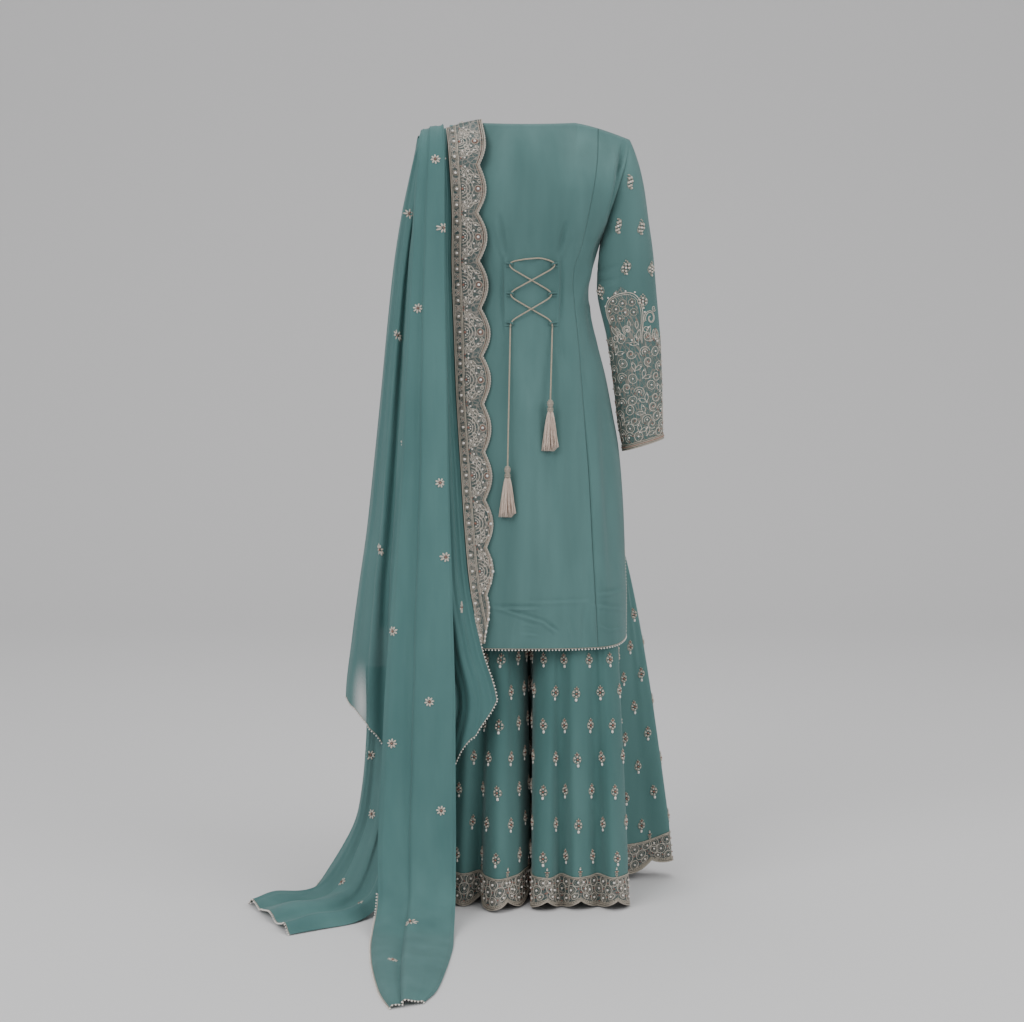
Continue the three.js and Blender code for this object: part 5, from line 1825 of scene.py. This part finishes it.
def add_kameez():
    stitching = Stitching("kameez_stitching")
    for name, surface, across, along, relief, width, slits in KAMEEZ_PANELS:
        sheet = Sheet(surface, across, along, relief=relief)
        piece = cloth_piece(f"kameez_{name}_cloth", sheet, KAMEEZ_CLOTH)
        dress(piece, "kameez_cloth", f"kameez_{name}")
        sew_end(stitching, sheet)
        for side in slits:
            sew_side(stitching, sheet, side, SLIT_TOP)
    for side, surface, hand, relief in SLEEVES:
        sheet = Sheet(surface, 60, 130, closed=True, relief=relief)
        piece = cloth_piece(f"sleeve_{side}_cloth", sheet, KAMEEZ_CLOTH)
        dress(piece, "kameez_cloth", f"sleeve_{side}")
        cuff = Sheet(cuff_patch(sheet, hand), 160, 60, closed=True)
        patch = dress(cloth_piece(f"sleeve_{side}_cuff_net", cuff, CUFF_CLOTH, 0.0), "embroidered_band")
        sew_sleeve(stitching, sheet, hand)
    stitching.finish()


BUTI_ROWS = 10
BUTIS_PER_ROW = 20


def add_gharara():
    waist = cloth_piece("gharara_waistband_cloth", Sheet(waistband, 72, 4, closed=True), GHARARA_CLOTH)
    dress(waist, "gharara_cloth", "gharara_waistband")
    stitching = Stitching("gharara_stitching")
    for side, rows, seed in (("right", RIGHT_HEM, 0.0), ("left", LEFT_HEM, 1.7)):
        def turned(surface):
            return surface if side == "right" else mirrored(surface)

        flare = flare_surface(rows)
        upper_sheet = Sheet(turned(upper_leg_right), 40, 24)
        upper = cloth_piece(f"gharara_upper_leg_{side}_cloth", upper_sheet, GHARARA_CLOTH, 0.0)
        dress(upper, "gharara_cloth", f"gharara_upper_leg_{side}")
        body = Sheet(turned(flare_body(flare)), 420, 54, closed=True, relief=flare_relief(seed))
        cloth = cloth_piece(f"gharara_flare_{side}_cloth", body, GHARARA_CLOTH, 0.0)
        dress(cloth, "gharara_cloth", f"gharara_flare_{side}")
        hem = Sheet(turned(hem_band(flare)), 420, 8, closed=True)
        band = cloth_piece(f"gharara_hem_band_{side}_cloth", hem, BAND_CLOTH)
        dress(band, "embroidered_band", f"gharara_hem_band_{side}")
        for row in range(2, BUTI_ROWS):
            places = (np.arange(BUTIS_PER_ROW) + 0.5 * (row % 2) + 0.25) / BUTIS_PER_ROW
            lean = 5.0 * np.sin(7.0 * places * BUTIS_PER_ROW + row)
            sew_butis(stitching, Spots(body, places, (row + 0.45) / BUTI_ROWS, lean))
        sew_finials(stitching, Spots(body, np.arange(SCALLOPS_PER_LEG) / SCALLOPS_PER_LEG, 1.0))
        sew_hem_band(stitching, hem)
    stitching.finish()


FALL_FLOWERS = {
    "back_fall": table(
        "u v",
        (0.175, 0.142),
        (0.842, 0.06),
        (0.175, 0.35),
        (0.42, 0.283),
        (0.62, 0.42),
        (0.35, 0.504),
        (0.84, 0.56),
        (0.167, 0.708),
        (0.90, 0.80),
        (0.6, 0.86),
    ),
    "centre_fall": table(
        "u v",
        (0.717, 0.133),
        (0.942, 0.2),
        (0.292, 0.262),
        (0.817, 0.383),
        (0.883, 0.417),
        (0.092, 0.458),
        (0.7, 0.508),
        (0.175, 0.542),
        (0.808, 0.596),
        (0.567, 0.742),
        (0.3, 0.86),
    ),
    "side_tail": table("u v", (0.5, 0.12), (0.2, 0.26), (0.425, 0.404), (0.375, 0.592), (0.8, 0.7)),
    "front_fall": table(
        "u v",
        (0.3, 0.06),
        (0.72, 0.15),
        (0.25, 0.26),
        (0.66, 0.36),
        (0.18, 0.47),
        (0.82, 0.5),
        (0.45, 0.6),
        (0.2, 0.73),
        (0.72, 0.78),
        (0.4, 0.9),
    ),
}


FALLS = (
    ("back_fall", back_fall, 170, 150, BACK_PLEATS, 0.6, SHEER_CLOTH, (0.34, 1.15)),
    ("centre_fall", centre_fall, 70, 190, CENTRE_PLEATS, 2.0, FOLDED_CLOTH, (0.15, 1.75)),
    ("side_tail", side_tail, 60, 100, TAIL_PLEATS, 3.1, FOLDED_CLOTH, (0.14, 0.72)),
    ("front_fall", front_fall, 90, 110, FRONT_PLEATS, 4.4, FOLDED_CLOTH, (0.28, 1.0)),
)
SEWN_SIDES = {"back_fall": (1, 0.86), "centre_fall": (0, 0.68), "side_tail": (0, 0.6)}


def add_dupatta():
    stitching = Stitching("dupatta_stitching")
    border = Sheet(border_strip, 20, 330)
    sew_border(stitching, border)
    for name, surface, across, along, pleats, seed, material, flat in FALLS:
        sheet = Sheet(surface, across, along, relief=pleat_relief(pleats, seed))
        piece = cloth_piece(f"dupatta_{name}_cloth", sheet, material, 0.0)
        dress(piece, "dupatta_cloth", f"dupatta_{name}")
        sew_end(stitching, sheet)
        if name in SEWN_SIDES:
            sew_side(stitching, sheet, *SEWN_SIDES[name])
        places = FALL_FLOWERS[name]
        turn = 20.0 * np.sin(9.0 * places["u"] + 5.0 * places["v"])
        sew_flowers(stitching, Spots(sheet, places["u"], places["v"], turn))
    piece = cloth_piece("dupatta_border_cloth", border, BAND_CLOTH, 0.9)
    dress(piece, "embroidered_band", "dupatta_border")
    stitching.finish()


# Studio.
STUDIO_SIZE = 60.0
STUDIO_BACK = 3.4
STUDIO_CURVE = 2.0
STUDIO_CURVE_STEPS = 12
STUDIO_TOP = 7.0


def add_studio():
    """Paper that lies flat and turns up behind the suit in one soft curve."""
    floor = FLOOR * MM
    profile = [(-STUDIO_SIZE, floor), (STUDIO_BACK, floor)]
    for k in range(1, STUDIO_CURVE_STEPS + 1):
        angle = math.pi / 2 * k / STUDIO_CURVE_STEPS
        rise = floor + STUDIO_CURVE * (1.0 - math.cos(angle))
        profile.append((STUDIO_BACK + STUDIO_CURVE * math.sin(angle), rise))
    profile.append((STUDIO_BACK + STUDIO_CURVE, STUDIO_TOP))
    points = [(side * STUDIO_SIZE, y, z) for side in (-1, 1) for y, z in profile]
    count = len(profile)
    faces = [(k, k + count, k + count + 1, k + 1) for k in range(count - 1)]
    data = bpy.data.meshes.new("studio")
    data.from_pydata(points, [], faces)
    for polygon in data.polygons:
        polygon.use_smooth = True
    paper, _, _ = base_material("studio paper", {"Base Color": (0.69, 0.685, 0.69, 1.0), "Roughness": 0.9})
    data.materials.append(paper)
    new_object("studio", data)

    world = bpy.data.worlds.new("studio world")
    world.use_nodes = True
    world.node_tree.nodes["Background"].inputs["Color"].default_value = (1.0, 1.0, 1.0, 1.0)
    world.node_tree.nodes["Background"].inputs["Strength"].default_value = 0.6
    bpy.context.scene.world = world
    add_area("key", (-2.6, -3.4, 2.4), (0.0, 0.0, -0.6), 3.0, 112.0)
    add_area("fill", (3.2, -2.6, 1.4), (0.0, 0.0, -0.7), 3.0, 75.0)
    add_area("top", (0.0, 0.6, 3.2), (0.0, 0.0, -0.7), 3.2, 75.0)


def add_area(name, place, target, size, power):
    data = bpy.data.lights.new(name, "AREA")
    data.shape = "SQUARE"
    data.size = size
    data.energy = power
    light = new_object(name, data)
    light.location = place
    light.rotation_euler = (Vector(target) - Vector(place)).to_track_quat("-Z", "Y").to_euler()


# Lacing.
def on_back(x, z, off):
    return np.array([x, float(back_y(x, z)) - off, z])


def curve_piece(name, points, diameter, material):
    data = bpy.data.curves.new(name, "CURVE")
    data.dimensions = "3D"
    data.bevel_depth = diameter / 2 * MM
    data.bevel_resolution = 3
    data.use_fill_caps = True
    spline = data.splines.new("NURBS")
    spline.points.add(len(points) - 1)
    for place, point in zip(spline.points, points):
        place.co = (*(np.asarray(point) * MM), 1.0)
    spline.use_endpoint_u = True
    spline.order_u = 3
    spline.resolution_u = 6
    data.materials.append(material)
    return new_object(name, data)


LACE_STEPS = 16
BELOW_LOOP = 6.0


def lace_end_points(loop, bottom_x, bottom_z):
    """From under a loop down to the tassel, and on inside it."""
    _, x, z = LOOPS[loop]
    points = []
    for f in np.linspace(0.0, 1.0, LACE_STEPS + 1):
        off = CORD_OFF_CLOTH + TASSEL_OFF_CLOTH * float(smoothstep(f, 0.0, 1.0))
        points.append(on_back(lerp(x, bottom_x, f), lerp(z - BELOW_LOOP, bottom_z, f), off))
    end = points[-1]
    return points + [end - np.array([0.0, 0.0, down]) for down in (14.0, 28.0, CORD_IN_TASSEL)]


BOW_RISE = 9.0
LOOP_REACH = 5
CROSSING_OVER = 3.6


def laced_cord_points():
    """From the lower left loop up through every loop, and down to the lower right one."""
    left_top, left_middle, left_bottom, right_top, right_middle, right_bottom = LOOPS
    through = (left_bottom, right_middle, left_top, right_top, left_middle, right_bottom)
    points = []
    for index, (_, x, z) in enumerate(through):
        lean = 1 if index < 3 else -1
        for way in (-1, 1):
            points.append(on_back(x, z + way * LOOP_REACH * lean, CORD_OFF_CLOTH))
        if index == len(through) - 1:
            break
        _, next_x, next_z = through[index + 1]
        off = CORD_OFF_CLOTH + (CROSSING_OVER if index in (0, 3) else 0.0)
        start_z = z + LOOP_REACH * lean
        end_z = next_z - (LOOP_REACH if index < 2 else -LOOP_REACH)
        for f in (0.3, 0.5, 0.7):
            rise = BOW_RISE * math.sqrt(f) if index == 2 else 0.0
            points.append(on_back(lerp(x, next_x, f), lerp(start_z, end_z, f) + rise, off))
    return points


TUCK_LEFT = -41.0
TUCK_RIGHT = 57.0


def loop_points(x, z):
    """A flat cloth loop: out of the tuck, round the cord and back."""
    tuck = TUCK_LEFT if x < 0 else TUCK_RIGHT
    tip = x + math.copysign(LOOP_HALF, x - tuck)
    points = []
    for f, rise in ((0.0, 0.6), (0.3, 1.6), (0.62, 4.2), (0.85, 5.8)):
        points.append(on_back(lerp(tuck, tip, f), z + 3.2 - 1.2 * f, rise))
    points.append(on_back(tip, z, 4.4))
    for f, rise in ((0.85, 1.6), (0.62, 1.0), (0.3, 1.2), (0.0, 0.6)):
        points.append(on_back(lerp(tuck, tip, f), z - 3.2 + 1.2 * f, rise))
    return points


STRANDS = 110
STRAND_STEPS = 10
GOLDEN_TURN = 2.39996
SKIRT_RADIUS = 15.5
SKIRT_FLATTENING = 0.5
KNOT_RINGS = table(
    "down radius",
    (1.5, 2.6),
    (4.2, 4.3),
    (7.0, 4.9),
    (9.8, 4.3),
    (12.6, 3.2),
    (16.0, 4.4),
    (19.0, 4.6),
)


def add_tassel(side):
    """A wound knot over a skirt of floss that widens to its end."""
    low, high = (np.array(corner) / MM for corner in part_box(f"tassel_{side}"))
    x, y = (low[:2] + high[:2]) / 2.0
    turn = 2.0 * np.pi * np.arange(10) / 10
    knot = Stitching(f"tassel_{side}_knot")
    up = np.array([0.0, 0.0, 1.0])
    for down, radius in rows_of(KNOT_RINGS):
        path = stack(x + radius * np.cos(turn), y + radius * np.sin(turn), high[2] - down)
        knot.tubes("zari", path[None], np.broadcast_to(up, path.shape)[None], 1.6, closed=True, sides=5)
        knot.balls("zari", (x, y, high[2] - down), radius)
    k = np.arange(STRANDS)[:, None]
    f = np.linspace(0.0, 1.0, STRAND_STEPS)[None]
    share = np.sqrt((k + 0.5) / STRANDS)
    spread = lerp(3.6, SKIRT_RADIUS, f**0.75) * share
    around = GOLDEN_TURN * k + 0.25 * np.sin(3.0 * f + 1.3 * k)
    stray = 1.5 * np.sin(2.7 * k) * f**2
    foot = low[2] + 2.0 + 7.0 * np.sin(5.1 * k) ** 2 * (share > 0.6)
    paths = stack(
        x + spread * np.cos(around) + stray,
        y + SKIRT_FLATTENING * spread * np.sin(around),
        lerp(high[2] - TASSEL_HEAD + 1.0, foot, f),
    )
    out = stack(np.cos(around), np.sin(around), 0.0 * around)
    skirt = Stitching(f"tassel_{side}_skirt")
    skirt.tubes("floss", paths, out, 0.75, sides=3)
    pieces = skirt.finish() + knot.finish()
    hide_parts(f"tassel_{side}")
    return pieces


def add_lacing():
    for name, x, z in LOOPS:
        loop = curve_piece(name + "_cloth", loop_points(x, z), LOOP_THICKNESS, KAMEEZ_CLOTH)
        dress(loop, "kameez_cloth", name)
    crossing = curve_piece("lace_crossing_cord", laced_cord_points(), CORD_DIAMETER, CORD_THREAD)
    dress(crossing, "lace_cord", "lace_crossing")
    for side, *end in LACE_ENDS:
        points = lace_end_points(*end)
        cord = curve_piece(f"lace_end_{side}_cord", points, CORD_DIAMETER, CORD_THREAD)
        dress(cord, "lace_cord", f"lace_end_{side}")
        tassel = add_tassel(side)


add_lacing()
add_kameez()
add_gharara()
add_dupatta()
add_studio()
